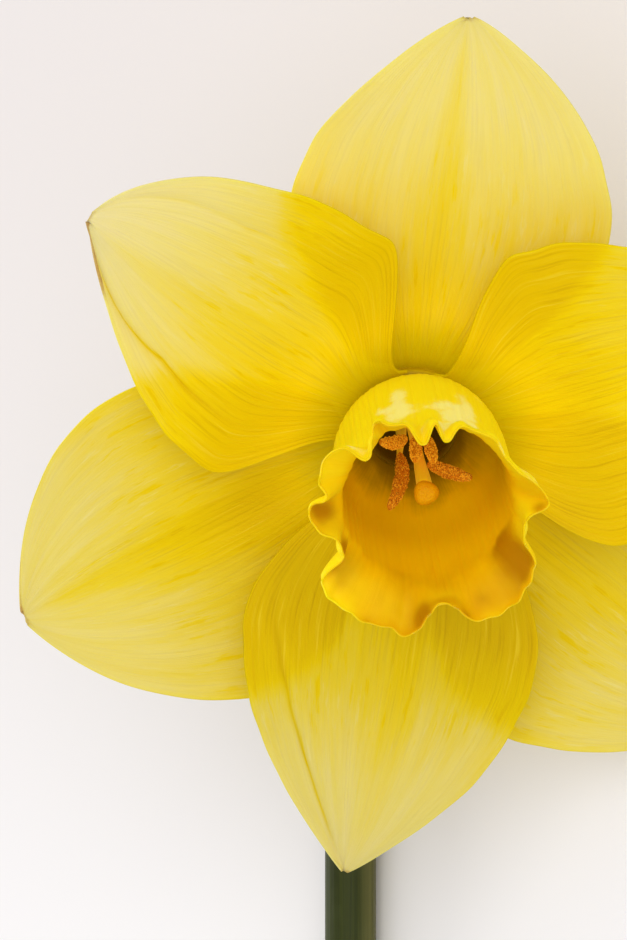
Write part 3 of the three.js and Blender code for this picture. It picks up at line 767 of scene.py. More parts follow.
def tepal_finish(name, settings):
    """Waxy petal: a ramp of yellows by depth, streaks and veins along the blade, a green foot and a dry brown
    tip.
    Painted shade darkens the duller tepals, the creases and the overlaps, and the foot has a painted glow."""
    finish = Finish(name, {
        "Subsurface Weight": settings.glow,
        "Subsurface Radius": (1.0, 0.9, 0.2),
        "Subsurface Scale": 0.8 * MM,
        "Specular IOR Level": 0.05,
        "Emission Strength": settings.through,
    })
    depth = finish.field("depth")
    edge = finish.field("edge")
    streaks = finish.noise(finish.uv(4.2, 0.42), 1, 4, 0.6)
    veins = finish.noise(finish.uv(30, 0.9), 1, 2, 0.55)
    threads = finish.noise(finish.uv(78, 3.2), 1, 1)
    patches = finish.noise(finish.uv(0.9, 0.6), 1, 2)
    dashes = finish.noise(finish.uv(11, 1.4), 1, 3, 0.65)
    middling = depth.step(0.1, 0.45) * depth.step(1.0, 0.7)
    tone = (depth + (streaks - 0.5) * (0.2 + 0.4 * middling) + (veins - 0.5) * 0.16
            + (threads - 0.5) * 0.10 + (patches - 0.5) * 0.2)
    tone = tone + 0.22 * dashes.step(0.56, 0.68) * depth.step(0.3, 0.5) * depth.step(0.95, 0.75)
    tone = tone - 0.14 * dashes.step(0.4, 0.3) * middling + 0.06 * edge.step(0.3, 0.05)
    colour = finish.ramp(tone, (
        (0.0, tuple(settings.pale)), (0.26, tuple(settings.lemon)), (0.55, tuple(settings.yellow)),
        (0.76, tuple(settings.gold)), (1.0, tuple(settings.deep))))
    colour = finish.mix(finish.field("green") * (0.6 + 0.8 * (veins - 0.5)), colour, tuple(settings.green))
    # Painted shade: the blade is darkened by its shade field.
    colour = finish.mix(finish.field("shade") + 0.25 * (streaks - 0.5), colour, (0.74, 0.74, 0.74),
                        "MULTIPLY")
    lines = 0.6 * veins + 0.4 * streaks
    golden = depth.step(0.45, 0.8)
    colour = finish.mix(lines.step(0.52, 0.34) * (0.25 + 0.6 * golden), colour, (0.84, 0.79, 0.6),
                        "MULTIPLY")
    colour = finish.mix(lines.step(0.54, 0.72) * 0.6 * golden, colour, tuple(settings.yellow))
    speckle = finish.noise(finish.place(), 2600, 3, 0.6)
    colour = finish.mix((finish.field("brown") * (0.45 + 1.1 * speckle)).step(0.12, 0.85), colour,
                        tuple(settings.brown))
    cells = finish.noise(finish.place(), 5200, 2, 0.6)
    height = 0.55 * veins + 0.3 * threads + 0.15 * cells
    # Painted glow: the foot emits its own colour.
    through = finish.mix(finish.field("foot"), (0, 0, 0), colour)
    return finish.complete(Base_Color=colour,
                         Roughness=0.46 + 0.14 * (cells - 0.5) + 0.1 * finish.field("green"),
                         Emission_Color=through, Normal=finish.bump(height, settings.vein / MM * 2.2))


def make_tepal(tepal, finish, settings):
    """One tepal: its sheet given a thickness that halves towards the edge, and the fields that colour it,
    among them a dry brown tip.
    """
    sheet, u, v, half, edge = tepal_sheet(tepal, settings)
    blade = settings.blade / MM * (0.5 + 0.5 * smooth(edge, 0, 1.5)) * lerp(1.35, 1, smooth(u, 0, 0.3))
    points = blade_points(sheet, blade)
    radius = np.hypot(sheet[..., 0], sheet[..., 1])

    # Painted shade: an inner tepal is painted deeper gold where an outer tepal lies behind it and lets less
    # light through.
    overlap_shade = np.zeros_like(u)
    if tepal.whorl is INNER:
        overlap_shade = np.max([cover_of(sheet, other) for other in TEPALS if other.whorl is OUTER], 0)
        overlap_shade = smooth(overlap_shade + 0.5 * ripples(v, tepal.seed + 6, 20, 60), -1.5, 2)
    strength, middle, width = tepal.band
    band = strength * np.exp(-(((v - middle) / width) ** 2)) * smooth(u, 1, 0.85) * smooth(u, 0.1, 0.3)
    # Painted shade along the creases deepens the tone and the shade.
    folds = sum((crease_shade(crease, u, v, half) for crease in tepal.creases), np.zeros_like(u))
    depth = (np.interp(u, (0, 0.35, 0.75, 1), tepal.tone) + band + 0.3 * overlap_shade * smooth(u, 1, 0.9)
             + 0.9 * folds)
    green = smooth(radius, 15, 9.5) * 0.6
    # A painted glow at the foot, for light that comes through from behind.
    foot = smooth(radius, 21, 8)
    to_tip = (1 - u) * tepal.length
    dry, reach, side = tepal.dry
    brown = (0.55 * np.exp(-((to_tip / 0.5) ** 2))
             + dry * smooth(edge, 0.4, 0.1) * smooth(to_tip, reach, 0.6 * reach) * (side * v > 0))
    # Painted shade: the tepal's own share plus shade along its creases.
    shade = np.clip(tepal.shade + 0.35 * folds, 0, 1)

    twice = lambda values: np.concatenate([values.ravel(), values.ravel()])
    uv = np.stack([twice(v * 0.5 * (tepal.left + tepal.right)) / 10, twice(u * tepal.length) / 10], -1)
    make_piece(tepal.node + "_petal", from_flower(points), [blade_faces(TEPAL_ROWS, TEPAL_COLUMNS)],
               finish, [tepal.node], uv,
               {"depth": twice(depth), "edge": twice(edge), "green": twice(green),
                "brown": twice(np.clip(brown, 0, 1)), "shade": twice(shade), "foot": twice(foot)})


class DAFFODIL_OT_tepals(bpy.types.Operator):
    """Make the six tepals"""

    bl_idname = "daffodil.tepals"
    bl_label = "Tepals"

    def execute(self, context):
        settings = context.scene.daffodil_tepals
        outer = tepal_finish("outer_petal", settings)
        inner = tepal_finish("inner_petal", settings)
        for tepal in TEPALS:
            is_outer = tepal.whorl is OUTER
            make_tepal(tepal, outer if is_outer else inner,
                       settings)
        return {"FINISHED"}


# ------------------------------------------------------------------ cup


def lip_line():
    """The lip's line round the mouth: a circle that swings out towards LIP_DROOP_AZIMUTH by a cosine, plus a
    bell for each lobe and fold, the exponential of minus the cube of the distance in azimuth over its half
    width."""
    azimuth = LIP_START + np.arange(LIP_STEPS) * 360 / LIP_STEPS
    radius = LIP_RADIUS + LIP_DROOP * np.cos(np.radians(azimuth - LIP_DROOP_AZIMUTH))
    for turn in LIP_TURNS:
        apart = (azimuth - turn.azimuth + 180) % 360 - 180
        radius += turn.reach * np.exp(-np.abs(apart / np.where(apart < 0, turn.before, turn.after)) ** 3)
    angle = np.radians(azimuth)
    return closed_spline(np.stack([radius * np.cos(angle), radius * np.sin(angle)], -1), CUP_COLUMNS)


def cup_sheet(settings):
    """The cup's middle surface on a grid: t from base to lip, then round the mouth.

    Low down it is a round tube. It widens from its foot to the wall as 1 less the exponential of minus t over
    CUP_SHOULDER to the power 2.5, and its height slows down towards the lip, as 1 less (1 - t) to the power
    CUP_EASE. The lip is the line of its lobes and folds, with fine teeth on it. Above the middle the
    wall blends from the tube to the lip, so that the lobes and folds fade into the wall; a lobe also sinks a
    little as it turns out. Flutes, a seeded wave round the mouth, crinkle the wall near the lip."""
    lip = lip_line()
    turn = np.arange(CUP_COLUMNS) / CUP_COLUMNS
    angle = np.unwrap(np.arctan2(lip[:, 1], lip[:, 0]))
    swing = np.fft.rfft(angle - 2 * np.pi * turn)
    swing[7:] = 0
    angle = np.fft.irfft(swing, CUP_COLUMNS) + 2 * np.pi * turn
    lip_radius = np.hypot(*lip.T)

    s = np.linspace(0, 1, CUP_ROWS)
    t = (1 - (1 - s) ** 1.5)[:, None]
    flare = np.clip((t - 0.72) / 0.28, 0, 1)
    pleats = settings.pleat / MM * ripples(turn, 71, 9, 22) * smooth(t, 0.1, 0.6) * smooth(t, 1, 0.8)
    ribs = 0.05 * ripples(turn, 72, 40, 70) * smooth(t, 0.05, 0.3)
    widened = 1 - np.exp(-((t / CUP_SHOULDER) ** 2.5))
    radius = lerp(CUP_BASE_RADIUS, CUP_WALL_RADIUS, widened) + CUP_FLARE * flare**1.8 + pleats + ribs
    round_wall = np.stack([radius * np.cos(angle), radius * np.sin(angle)], -1)

    teeth = settings.teeth / MM * ripples(turn, 73, 14, 40, 9)
    outward = unit(lip)
    lip = lip + outward * (0.25 * teeth)[:, None]
    blend = (smooth(t, 0.64, 1.03) ** 1.3)[..., None]
    crinkle = (settings.crinkle / MM * ripples(turn, 74, 14, 30, 8) * smooth(t, 0.7, 0.95)
               * (1 - 0.6 * smooth(t, 0.94, 1)))
    plan = lerp(round_wall, lip[None], blend) + crinkle[..., None] * outward[None]
    lobe = smooth(lip_radius, 8.5, 13.2)
    drop = smooth(t, 0.55, 1) * (1.5 * lobe - 0.2)
    height = (lerp(CUP_BOTTOM, CUP_TOP, 1 - (1 - t) ** CUP_EASE) - drop
              + smooth(t, 0.86, 1) * teeth * (0.7 + 0.5 * lobe))

    # Painted shade: where a lobe bulges past the lip's mean line, its pocket is painted darker.
    swell = np.fft.rfft(lip_radius)
    swell[5:] = 0
    pocket = (lip_radius - np.fft.irfft(swell, CUP_COLUMNS)) / 1.6 * smooth(t, 0.55, 0.95)
    middle = np.concatenate([plan, height[..., None]], -1)
    return middle, np.broadcast_to(t, height.shape), turn, angle, pocket


def degrees_from(azimuth, angle):
    """How far each angle, in radians, lies from an azimuth in degrees: -180 to 180."""
    apart = angle - math.radians(azimuth)
    return np.degrees(np.arctan2(np.sin(apart), np.cos(apart)))


def tint_at(tints, angle, t):
    """Strength of listed tints on the cup: each is a bell of the azimuth times a soft band along the wall."""
    total = np.zeros(t.shape)
    for azimuth, spread, low, high, strength in tints:
        apart = degrees_from(azimuth, angle)
        total += (strength * np.exp(-((apart / spread) ** 2)) * smooth(t, low - 0.05, low + 0.05)
                  * smooth(t, high, high - 0.1))
    return np.clip(total, 0, 1)


def cup_finish(settings):
    """Waxy cup: a bright yellow outside with painted highlights as pale patches by the lip, and a golden
    inside that darkens to olive deep in the cup, partly its own colour and partly painted shade. Painted
    shade also lies under the upper lip, in the folds and pockets, on the lower lip and on the rim; the lip's
    inner face has painted light, and the wall a painted glow."""
    finish = Finish("cup", {
        "Subsurface Weight": settings.glow,
        "Subsurface Radius": (1.0, 0.9, 0.15),
        "Subsurface Scale": 0.5 * MM,
        "Specular IOR Level": 0.1,
        "Emission Strength": settings.through,
    })
    up = finish.field("up")
    inner = finish.field("inner")
    lower = finish.field("lower")
    hollow = finish.field("hollow")
    veins = finish.noise(finish.uv(26, 0.8), 1, 2, 0.55)
    threads = finish.noise(finish.uv(70, 3), 1, 1)
    clouds = finish.noise(finish.place(), 260, 3, 0.55)
    flecks = finish.noise(finish.place(), 800, 3, 0.6)
    # Painted highlights: pale patches on the outside by the lip.
    pale = (finish.field("pale") + 1.9 * (clouds - 0.5) + 0.9 * (flecks - 0.5)).step(0.3, 0.95) * 0.85
    outside = finish.mix(up.step(0.3, 0.0) * 0.6, tuple(settings.outside), srgb(214, 186, 10))
    outside = finish.mix(pale, outside, tuple(settings.patches))
    # Painted shade: the outer rim on the lower side takes the inside colour.
    outside = finish.mix(lower * up.step(0.8, 0.95), outside, tuple(settings.inside))
    depth = up + 0.14 * (clouds - 0.5) + 0.05 * (veins - 0.5)
    inside = finish.mix(depth.step(0.05, 0.2), tuple(settings.throat), tuple(settings.inside))
    inside = finish.mix(finish.field("shadow"), inside, (0.62, 0.64, 0.5), "MULTIPLY")
    # Painted light: the lip's inner face is painted in the bright outside colour, except on the lower side.
    inside = finish.mix(depth.step(0.7, 0.86) * (1 - 0.7 * lower), inside, tuple(settings.outside))
    # Painted shade: the inner wall by the lower lip.
    inside = finish.mix(depth.step(0.5, 0.9) * lower * 0.8, inside, tuple(settings.shade))
    # Painted shade in the lobes' pockets.
    inside = finish.mix((finish.field("pocket") + 0.5 * (clouds - 0.5)).step(0.0, 1.0) * 0.5, inside,
                        tuple(settings.shade))
    # Painted shade in the deepest folds by the lip.
    inside = finish.mix((hollow + 0.3 * (clouds - 0.5)).step(0.05, 0.9), inside, tuple(settings.hollow))
    # Painted highlights on the inner wall.
    inside = finish.mix(finish.field("light"), inside, tuple(settings.outside))
    colour = finish.mix(inner, outside, inside)
    shade = (veins - 0.5) * 0.9 + (threads - 0.5) * 0.4
    colour = finish.mix(shade.step(0.0, 0.5) * (0.25 - 0.19 * inner), colour, srgb(222, 168, 2))
    # Painted shade: the rim is darkened, except where painted highlights lie.
    colour = finish.mix(up.step(0.965, 0.99) * (1 - finish.field("light")) * 0.45, colour,
                        tuple(settings.shade))
    cells = finish.noise(finish.place(), 5200, 2, 0.6)
    height = 0.5 * veins + 0.3 * threads + 0.2 * cells
    # Painted glow: the wall emits its colour, most deep inside, least in the painted fold shadows.
    through = finish.mix((0.25 + 0.75 * inner * up.step(0.75, 0.35)) * (1 - hollow), (0, 0, 0), colour)
    return finish.complete(Base_Color=colour, Roughness=0.44 + 0.14 * (cells - 0.5), Emission_Color=through,
                         Normal=finish.bump(height, 0.06))


class DAFFODIL_OT_cup(bpy.types.Operator):
    """Make the frilled cup"""

    bl_idname = "daffodil.cup"
    bl_label = "Cup"

    def execute(self, context):
        settings = context.scene.daffodil_cup
        middle, t, turn, angle, pocket = cup_sheet(settings)
        along = np.gradient(middle, axis=0)
        wrapped = np.concatenate([middle[:, -1:], middle, middle[:, :1]], 1)
        around = np.gradient(wrapped, axis=1)[:, 1:-1]
        outward = unit(np.cross(around, along))
        half = 0.5 * settings.wall / MM * (0.4 + 0.6 * smooth(t, 1, 0.88))[..., None]
        # One closed section: up the outside, over the lip and down the inside.
        section = np.concatenate([middle + half * outward, (middle - half * outward)[::-1]])
        rows = len(section)
        index = np.arange(rows * CUP_COLUMNS).reshape(rows, CUP_COLUMNS)
        loop = np.concatenate([index, index[:1]])
        faces = np.stack([loop[:-1], np.roll(loop, -1, 1)[:-1], np.roll(loop, -1, 1)[1:], loop[1:]], -1)
        up = np.concatenate([t, t[::-1]])
        inner = np.concatenate([np.zeros_like(t), np.ones_like(t)])
        uv = np.stack(np.broadcast_arrays(turn * 7.2, up * 3), -1).reshape(-1, 2)
        lower = np.exp(-((degrees_from(LOWER_SIDE_AZIMUTH, angle) / LOWER_SIDE_SPREAD) ** 4))
        lower = np.broadcast_to(lower, t.shape)
        fields = {"up": up, "inner": inner, "pocket": np.concatenate([pocket, pocket[::-1]]),
                  "lower": np.concatenate([lower, lower])}
        shadow = smooth(np.sin(angle), -0.75, 0.1) * smooth(t, 0.75, 0.2)
        fields["shadow"] = np.concatenate([shadow, shadow[::-1]])
        for key, tints in (("hollow", PAINTED_FOLD_SHADOWS), ("light", PAINTED_LIGHTS), ("pale", PAINTED_PALE_LIGHTS)):
            tint = tint_at(tints, angle, t)
            fields[key] = np.concatenate([tint, tint[::-1]])
        make_piece("cup", from_flower(section.reshape(-1, 3)), [faces.reshape(-1, 4)], cup_finish(settings),
                   ["corona"], uv, {key: values.ravel() for key, values in fields.items()})
        return {"FINISHED"}


# ------------------------------------------------------------------ stamens and pistil


def line_frame(centres):
    """Unit vectors across a path of points: along it, and two at right angles to it."""
    along = unit(np.gradient(centres, axis=0))
    helper = np.array([0.31, 0.17, 0.94]) if abs(along[0][2]) < 0.8 else np.array([0.94, 0.31, 0.17])
    across = unit(np.cross(np.broadcast_to(helper, along.shape), along))
    return along, across, np.cross(along, across)


def curve_through(first, middle, last, count):
    """A smooth line from first to last that passes middle halfway: a parabola in the step."""
    t = np.linspace(0, 1, count)[:, None]
    bulge = middle - 0.5 * (first + last)
    return first + (last - first) * t + 4 * t * (1 - t) * bulge


def make_rod(name, centres, radius, finish, nodes, lumps=0.0, seed=0, sides=24):
    """A round rod along a path in the flower's frame. radius is one number a ring; lumps is a share by
    which it wavers."""
    _, across, up = line_frame(centres)
    angles = 2 * np.pi * np.arange(sides) / sides
    share = np.linspace(0, 1, len(centres))[:, None]
    wavering = 1 + lumps * ripples(share + angles / (2 * np.pi), seed, 2, 7)
    rings = ring_grid(centres, across, up, np.asarray(radius)[:, None] * wavering, angles)
    sides_faces, caps = loft_faces(len(centres), sides)
    uv = np.stack([loft_field(np.broadcast_to(angles * 0.06, rings.shape[:2])),
                   loft_field(np.broadcast_to(share * 2.0, rings.shape[:2]))], -1)
    along = loft_field(np.broadcast_to(share, rings.shape[:2]))
    return make_piece(name, from_flower(loft_points(rings)), [sides_faces, caps], finish, nodes, uv,
                      {"along": along})


def icosahedron():
    """Corners and faces of an icosahedron of radius 1."""
    g = (1 + 5**0.5) / 2
    corners = np.array([(-1, g, 0), (1, g, 0), (-1, -g, 0), (1, -g, 0), (0, -1, g), (0, 1, g), (0, -1, -g),
                        (0, 1, -g), (g, 0, -1), (g, 0, 1), (-g, 0, -1), (-g, 0, 1)], float)
    faces = np.array([(0, 11, 5), (0, 5, 1), (0, 1, 7), (0, 7, 10), (0, 10, 11), (1, 5, 9), (5, 11, 4),
                      (11, 10, 2), (10, 7, 6), (7, 1, 8), (3, 9, 4), (3, 4, 2), (3, 2, 6), (3, 6, 8),
                      (3, 8, 9), (4, 9, 5), (2, 4, 11), (6, 2, 10), (8, 6, 7), (9, 8, 1)])
    return unit(corners), faces


def anther_surface(size, centres, across, up, t, angle):
    """A point of the anther's skin: two lobes with a groove on each side, round at both ends as the 0.4th
    power of a half sine, and lumpy."""
    fullness = np.sin(np.pi * lerp(0.015, 0.985, t)) ** 0.4
    lobes = 0.84 + 0.16 * np.cos(2 * angle) + 0.05 * np.cos(4 * angle + 1)
    lumps = (1 + 0.09 * ripples(t + angle / (2 * np.pi), 81, 3, 11)
             + 0.06 * ripples(t - angle / np.pi, 82, 4, 9))
    radius = (size * fullness * lerp(1.06, 0.82, t) * lobes * lumps)[..., None]
    return centres + radius * (np.cos(angle)[..., None] * across + np.sin(angle)[..., None] * up)


def make_anther(number, stamen, finish, settings):
    """An anther with its pollen: a lumpy two-lobed body, bent a little like a bow, and grains sunk into
    it."""
    azimuth = stamen.outer[0]
    first, last = polar(*stamen.inner), polar(*stamen.outer)
    first = first - 0.9 * unit(last - first)
    middle = 0.5 * (first + last) + np.array(stamen.bow)
    size = settings.anther_radius / MM * stamen.stoutness
    count, sides = 60, 40
    centres = curve_through(first, middle, last, count)
    _, across, up = line_frame(centres)
    angles = 2 * np.pi * np.arange(sides) / sides
    t = np.linspace(0, 1, count)
    body = anther_surface(size, centres[:, None], across[:, None], up[:, None],
                          np.broadcast_to(t[:, None], (count, sides)),
                          np.broadcast_to(angles[None], (count, sides)))
    points = loft_points(body)
    side_faces, caps = loft_faces(count, sides)

    rng = np.random.default_rng(900 + number)
    grain_t = rng.uniform(0.02, 0.98, settings.grains)
    grain_angle = rng.uniform(0, 2 * np.pi, settings.grains)
    at = [np.stack([np.interp(grain_t, t, values[:, k]) for k in range(3)], -1)
          for values in (centres, across, up)]
    seats = anther_surface(size, *at, grain_t, grain_angle)
    corners, faces = icosahedron()
    sizes = settings.grain_radius / MM * rng.uniform(0.55, 1.35, settings.grains)
    squash = rng.uniform(0.75, 1.25, (settings.grains, 1, 3))
    grains = seats[:, None] + sizes[:, None, None] * corners[None] * squash
    grain_faces = (faces[None] + 12 * np.arange(settings.grains)[:, None, None] + len(points)).reshape(-1, 3)
    tint = np.concatenate([np.full(len(points), 0.15), np.repeat(rng.uniform(0.3, 1, settings.grains), 12)])
    points = np.concatenate([points, grains.reshape(-1, 3)])
    # Painted glow: anthers under the upper lip glow more, against the lip's shadow.
    roofed = np.full(len(tint), 0.4 + 0.6 * smooth(math.sin(math.radians(azimuth)), -0.2, 0.5))
    make_piece(f"pollen_anther_{number}", from_flower(points), [side_faces, caps, grain_faces], finish,
               [f"anther_{number}"], None, {"tint": tint, "roofed": roofed})


def anther_finish(settings):
    """Granular pollen: orange clumps over a dark red-brown skin."""
    finish = Finish("pollen", {"Specular IOR Level": 0.2, "Emission Strength": settings.through})
    tint = finish.field("tint")
    clumps = finish.noise(finish.place(), 3800, 3, 0.6)
    specks = finish.noise(finish.place(), 7000, 1, 0.5)
    tone = (tint + 0.8 * (clumps - 0.5) + 0.5 * (specks - 0.5)).step(0.1, 0.9)
    colour = finish.mix(tone, tuple(settings.anther), tuple(settings.pollen))
    colour = finish.mix(specks.step(0.42, 0.3) * 0.85, colour, srgb(96, 36, 2))
    # Painted glow in the anthers' own colour.
    through = finish.mix(finish.field("roofed"), (0, 0, 0), colour)
    return finish.complete(Base_Color=colour, Roughness=0.8 + 0.2 * (clumps - 0.5), Emission_Color=through,
                         Normal=finish.bump(specks, 0.06))


def filament_finish(settings):
    """Pale glassy gold with fine lines along it, greener at the foot."""
    # The filaments emit their own colour: a painted glow.
    finish = Finish("filament", {"Subsurface Weight": 0.3, "Subsurface Radius": (1, 0.7, 0.2),
                                 "Subsurface Scale": 0.6 * MM, "Specular IOR Level": 0.15,
                                 "Emission Strength": 0.6 * settings.through})
    lines = finish.noise(finish.uv(60, 1.2), 1, 2)
    colour = finish.mix(finish.field("along").step(0.5, 0.0) * 0.6, tuple(settings.filament),
                        srgb(150, 150, 40))
    colour = finish.mix(lines.step(0.4, 0.8) * 0.3, colour, srgb(240, 206, 110))
    return finish.complete(Base_Color=colour, Roughness=0.42 + 0.1 * (lines - 0.5), Emission_Color=colour,
                         Normal=finish.bump(lines, 0.05))


def stigma_finish(settings):
    """Soft golden knob with fine papillae and a moist sheen."""
    finish = Finish("stigma", {"Subsurface Weight": 0.3, "Subsurface Radius": (1, 0.6, 0.1),
                               "Subsurface Scale": 0.8 * MM, "Specular IOR Level": 0.06})
    papillae = finish.node("ShaderNodeTexVoronoi", None, {"Vector": finish.place(), "Scale": 5200})
    clouds = finish.noise(finish.place(), 900, 2)
    colour = finish.mix(clouds.step(0.35, 0.7), tuple(settings.stigma), srgb(228, 160, 2))
    colour = finish.mix(papillae.step(0.3, 0.75) * 0.3, colour, srgb(200, 118, 2))
    return finish.complete(Base_Color=colour, Roughness=0.4 + 0.2 * (clouds - 0.5),
                         Normal=finish.bump(1 - papillae, 0.06))


class DAFFODIL_OT_heart(bpy.types.Operator):
    """Make the six stamens and the pistil"""

    bl_idname = "daffodil.heart"
    bl_label = "Stamens and pistil"

    def execute(self, context):
        settings = context.scene.daffodil_heart
        pollen = anther_finish(settings)
        stalk = filament_finish(settings)
        for number, stamen in enumerate(STAMENS, 1):
            make_anther(number, stamen, pollen, settings)
            azimuth, _, height = stamen.inner
            foot = polar(azimuth, FILAMENT_RING, FILAMENT_FOOT)
            top = polar(*stamen.inner)
            top = top - GAP * unit(polar(*stamen.outer) - top)
            knee = polar(azimuth, FILAMENT_RING, height - FILAMENT_KNEE)
            straight = foot + (knee - foot) * np.linspace(0, 1, 24)[:, None]
            bend = np.linspace(0, 1, 13)[1:, None]
            centres = np.concatenate([straight, knee + (top - knee) * bend])
            taper = np.interp(np.linspace(0, 1, len(centres)), (0, 0.8, 1), (1.1, 1, 0.7))
            radius = settings.filament_radius / MM * taper
            make_rod(f"stalk_{number}", centres, radius, stalk, [f"filament_{number}"],
                     lumps=0.04, seed=100 + number)

        knob_low = STIGMA_HEIGHT - 0.8 * settings.stigma_radius / MM
        share = np.linspace(0, 1, 40)
        along_axis = lerp(TUBE_FLOOR + 2 * GAP, knob_low - 0.3 * GAP, share)
        centres = np.stack([0 * share, 0 * share, along_axis], -1)
        radius = settings.style_radius / MM * (1 + 0.45 * smooth(share, 0.7, 1))
        make_rod("pistil_style", centres, radius, stalk, ["style"], lumps=0.02, seed=120)

        # The knob: a ball flattened along its axis, with three lobes that show most at its widest.
        rows, sides = 40, 72
        polar_angle = np.linspace(0.02, np.pi - 0.02, rows)[:, None]
        angles = 2 * np.pi * np.arange(sides) / sides
        size = settings.stigma_radius / MM
        lobes = (1 + 0.06 * np.sin(polar_angle) * np.cos(3 * angles)
                 + 0.012 * ripples(angles / (2 * np.pi), 130, 14, 30))
        rise = -0.8 * size * np.cos(polar_angle) * (1 - 0.16 * np.exp(-(((np.pi - polar_angle) / 0.5) ** 2)))
        ball = np.stack([size * np.sin(polar_angle) * np.cos(angles) * lobes,
                         size * np.sin(polar_angle) * np.sin(angles) * lobes,
                         STIGMA_HEIGHT + np.broadcast_to(rise, lobes.shape)], -1)
        side_faces, caps = loft_faces(rows, sides)
        make_piece("stigma_knob", from_flower(loft_points(ball)), [side_faces, caps], stigma_finish(settings),
                   ["stigma"])
        return {"FINISHED"}


# ------------------------------------------------------------------ stem, neck, sheath, ovary, tube

FLOWER_AXIS = LEAN @ np.array([0, 0, 1])
NECK_END = THROAT + FLOWER_AXIS * (OVARY_TOP - OVARY_LENGTH - GAP)
NECK_KNOTS = np.array([[0, STEM_TOP, 0], [0, STEM_TOP + 15, 0], NECK_END - 9 * FLOWER_AXIS, NECK_END])


def neck_at(t):
    """The neck's line and direction: a cubic Bezier curve through its four knots."""
    t = np.asarray(t, float)[..., None]
    a, b, c, d = NECK_KNOTS
    point = (1 - t) ** 3 * a + 3 * t * (1 - t) ** 2 * b + 3 * t * t * (1 - t) * c + t**3 * d
    slope = 3 * (1 - t) ** 2 * (b - a) + 6 * t * (1 - t) * (c - b) + 3 * t * t * (d - c)
    return point, unit(slope)


def stem_frame(along):
    """Two unit vectors across the stem: to its side, and to the back, away from the flower."""
    side = unit(np.array([1.0, 0, 0]) - along[..., :1] * along)
    return side, np.cross(along, side)


def make_stem(settings, finish):
    """The stem as one skin: from the end of its bore to the cut end, over the cut flesh, then outside
    along the stem and up the bent neck. Its section is an ellipse with a ridge at each end of the wide
    axis, and fine striations: a seeded wave round it."""
    sides = 96
    angles = 2 * np.pi * np.arange(sides) / sides
    oval = STEM_WIDE * STEM_THIN / np.hypot(STEM_THIN * np.cos(angles), STEM_WIDE * np.sin(angles))
    outside = oval + STEM_RIDGE * np.maximum(np.cos(2 * angles), 0) ** 6
    lines = settings.striation / MM * np.minimum(ripples(angles / (2 * np.pi), 140, 9, 26, 8), 0)
    cut = STEM_TOP - STEM_LENGTH
    shoulder = STEM_TOP - 3

    def straight(y, radius):
        y = np.asarray(y, float)
        centres = np.stack([0 * y, y, 0 * y], -1)
        return centres, np.broadcast_to([0.0, 1, 0], centres.shape), np.broadcast_to(radius, (len(y), sides))

    ragged = 0.06 * ripples(angles / (2 * np.pi), 141, 5, 24)
    inner = BORE_RADIUS * (1 + 0.03 * ripples(angles / (2 * np.pi), 142, 3, 12))
    bore = straight(cut + np.array([BORE_DEPTH, 0.6 * BORE_DEPTH, 8, 2, 0.3]), inner)
    across_flesh = np.linspace(0.08, 0.92, 8)[:, None]
    flesh = straight(cut + 0.12 * np.sin(np.pi * across_flesh[:, 0]) + 0.05,
                     lerp(inner, outside + ragged * across_flesh, across_flesh))
    skin_y = np.concatenate([[cut + 0.12, cut + 0.5], np.linspace(cut + 1.5, shoulder, 110)])
    skin = straight(skin_y, outside + lines)
    t = np.linspace(0, 1, 60)
    neck, direction = neck_at(t)
    slim = smooth(t * 14, -1, 1)[:, None]
    bent = (neck, direction, lerp(outside + lines, NECK_RADIUS * (1 + 0.02 * np.cos(6 * angles)), slim))
    centres, along, radius = (np.concatenate(parts) for parts in zip(bore, flesh, skin, bent))

    side, back = stem_frame(along)
    roll = math.atan2(ROLL[0, 2], ROLL[0, 0])
    across = side * math.cos(roll) - back * math.sin(roll)
    up = side * math.sin(roll) + back * math.cos(roll)
    rings = ring_grid(centres, across, up, radius, angles)
    side_faces, caps = loft_faces(len(rings), sides)
    travelled = np.concatenate([[0], np.cumsum(np.linalg.norm(np.diff(centres, axis=0), axis=1))])
    shape = rings.shape[:2]
    uv = np.stack([loft_field(np.broadcast_to(angles * 0.34, shape)),
                   loft_field(np.broadcast_to(travelled[:, None] / 10, shape))], -1)
    lit = smooth((rings[..., 0] - centres[:, :1]) / STEM_WIDE, 0.2, 0.75)
    kind = np.concatenate([np.ones(len(bore[0]) + len(flesh[0])), np.zeros(len(skin[0]) + len(t))])
    high = np.concatenate([np.zeros(len(bore[0]) + len(flesh[0]) + len(skin[0])), t])
    make_piece("green_stem", from_plant(loft_points(rings)), [side_faces, caps], finish, ["stem"], uv,
               {"flesh": loft_field(np.broadcast_to(kind[:, None], shape)),
                "high": loft_field(np.broadcast_to(high[:, None], shape)), "lit": loft_field(lit)})


def stem_finish(settings):
    """Dark green skin with fine lighter lines and a waxy bloom; pale wet flesh at the cut."""
    finish = Finish("stem", {"Subsurface Weight": 0.06, "Subsurface Radius": (0.5, 0.8, 0.2),
                             "Subsurface Scale": 1.2 * MM, "Specular IOR Level": 0.15})
    lines = finish.noise(finish.uv(22, 0.35), 1, 3, 0.6)
    clouds = finish.noise(finish.place(), 150, 3, 0.6)
    colour = finish.mix(lines.step(0.3, 0.75) * 0.55, tuple(settings.stem), srgb(62, 70, 18))
    colour = finish.mix((clouds.step(0.4, 0.75) * 0.5 + 0.12) * 0.12, colour, tuple(settings.bloom))
    colour = finish.mix(finish.field("lit") * (0.3 + 0.4 * lines), colour, srgb(112, 108, 62))
    colour = finish.mix(finish.field("high") * 0.45, colour, srgb(140, 146, 66))
    pores = finish.node("ShaderNodeTexVoronoi", None, {"Vector": finish.place(), "Scale": 2600})
    flesh = finish.mix(pores.step(0.0, 0.55), srgb(122, 140, 66), tuple(settings.flesh))
    colour = finish.mix(finish.field("flesh"), colour, flesh)
    return finish.complete(Base_Color=colour,
                         Roughness=0.46 + 0.2 * (clouds - 0.5) - 0.1 * finish.field("flesh"),
                         Normal=finish.bump(lines * 0.8 + pores * finish.field("flesh") * 0.6, 0.09))


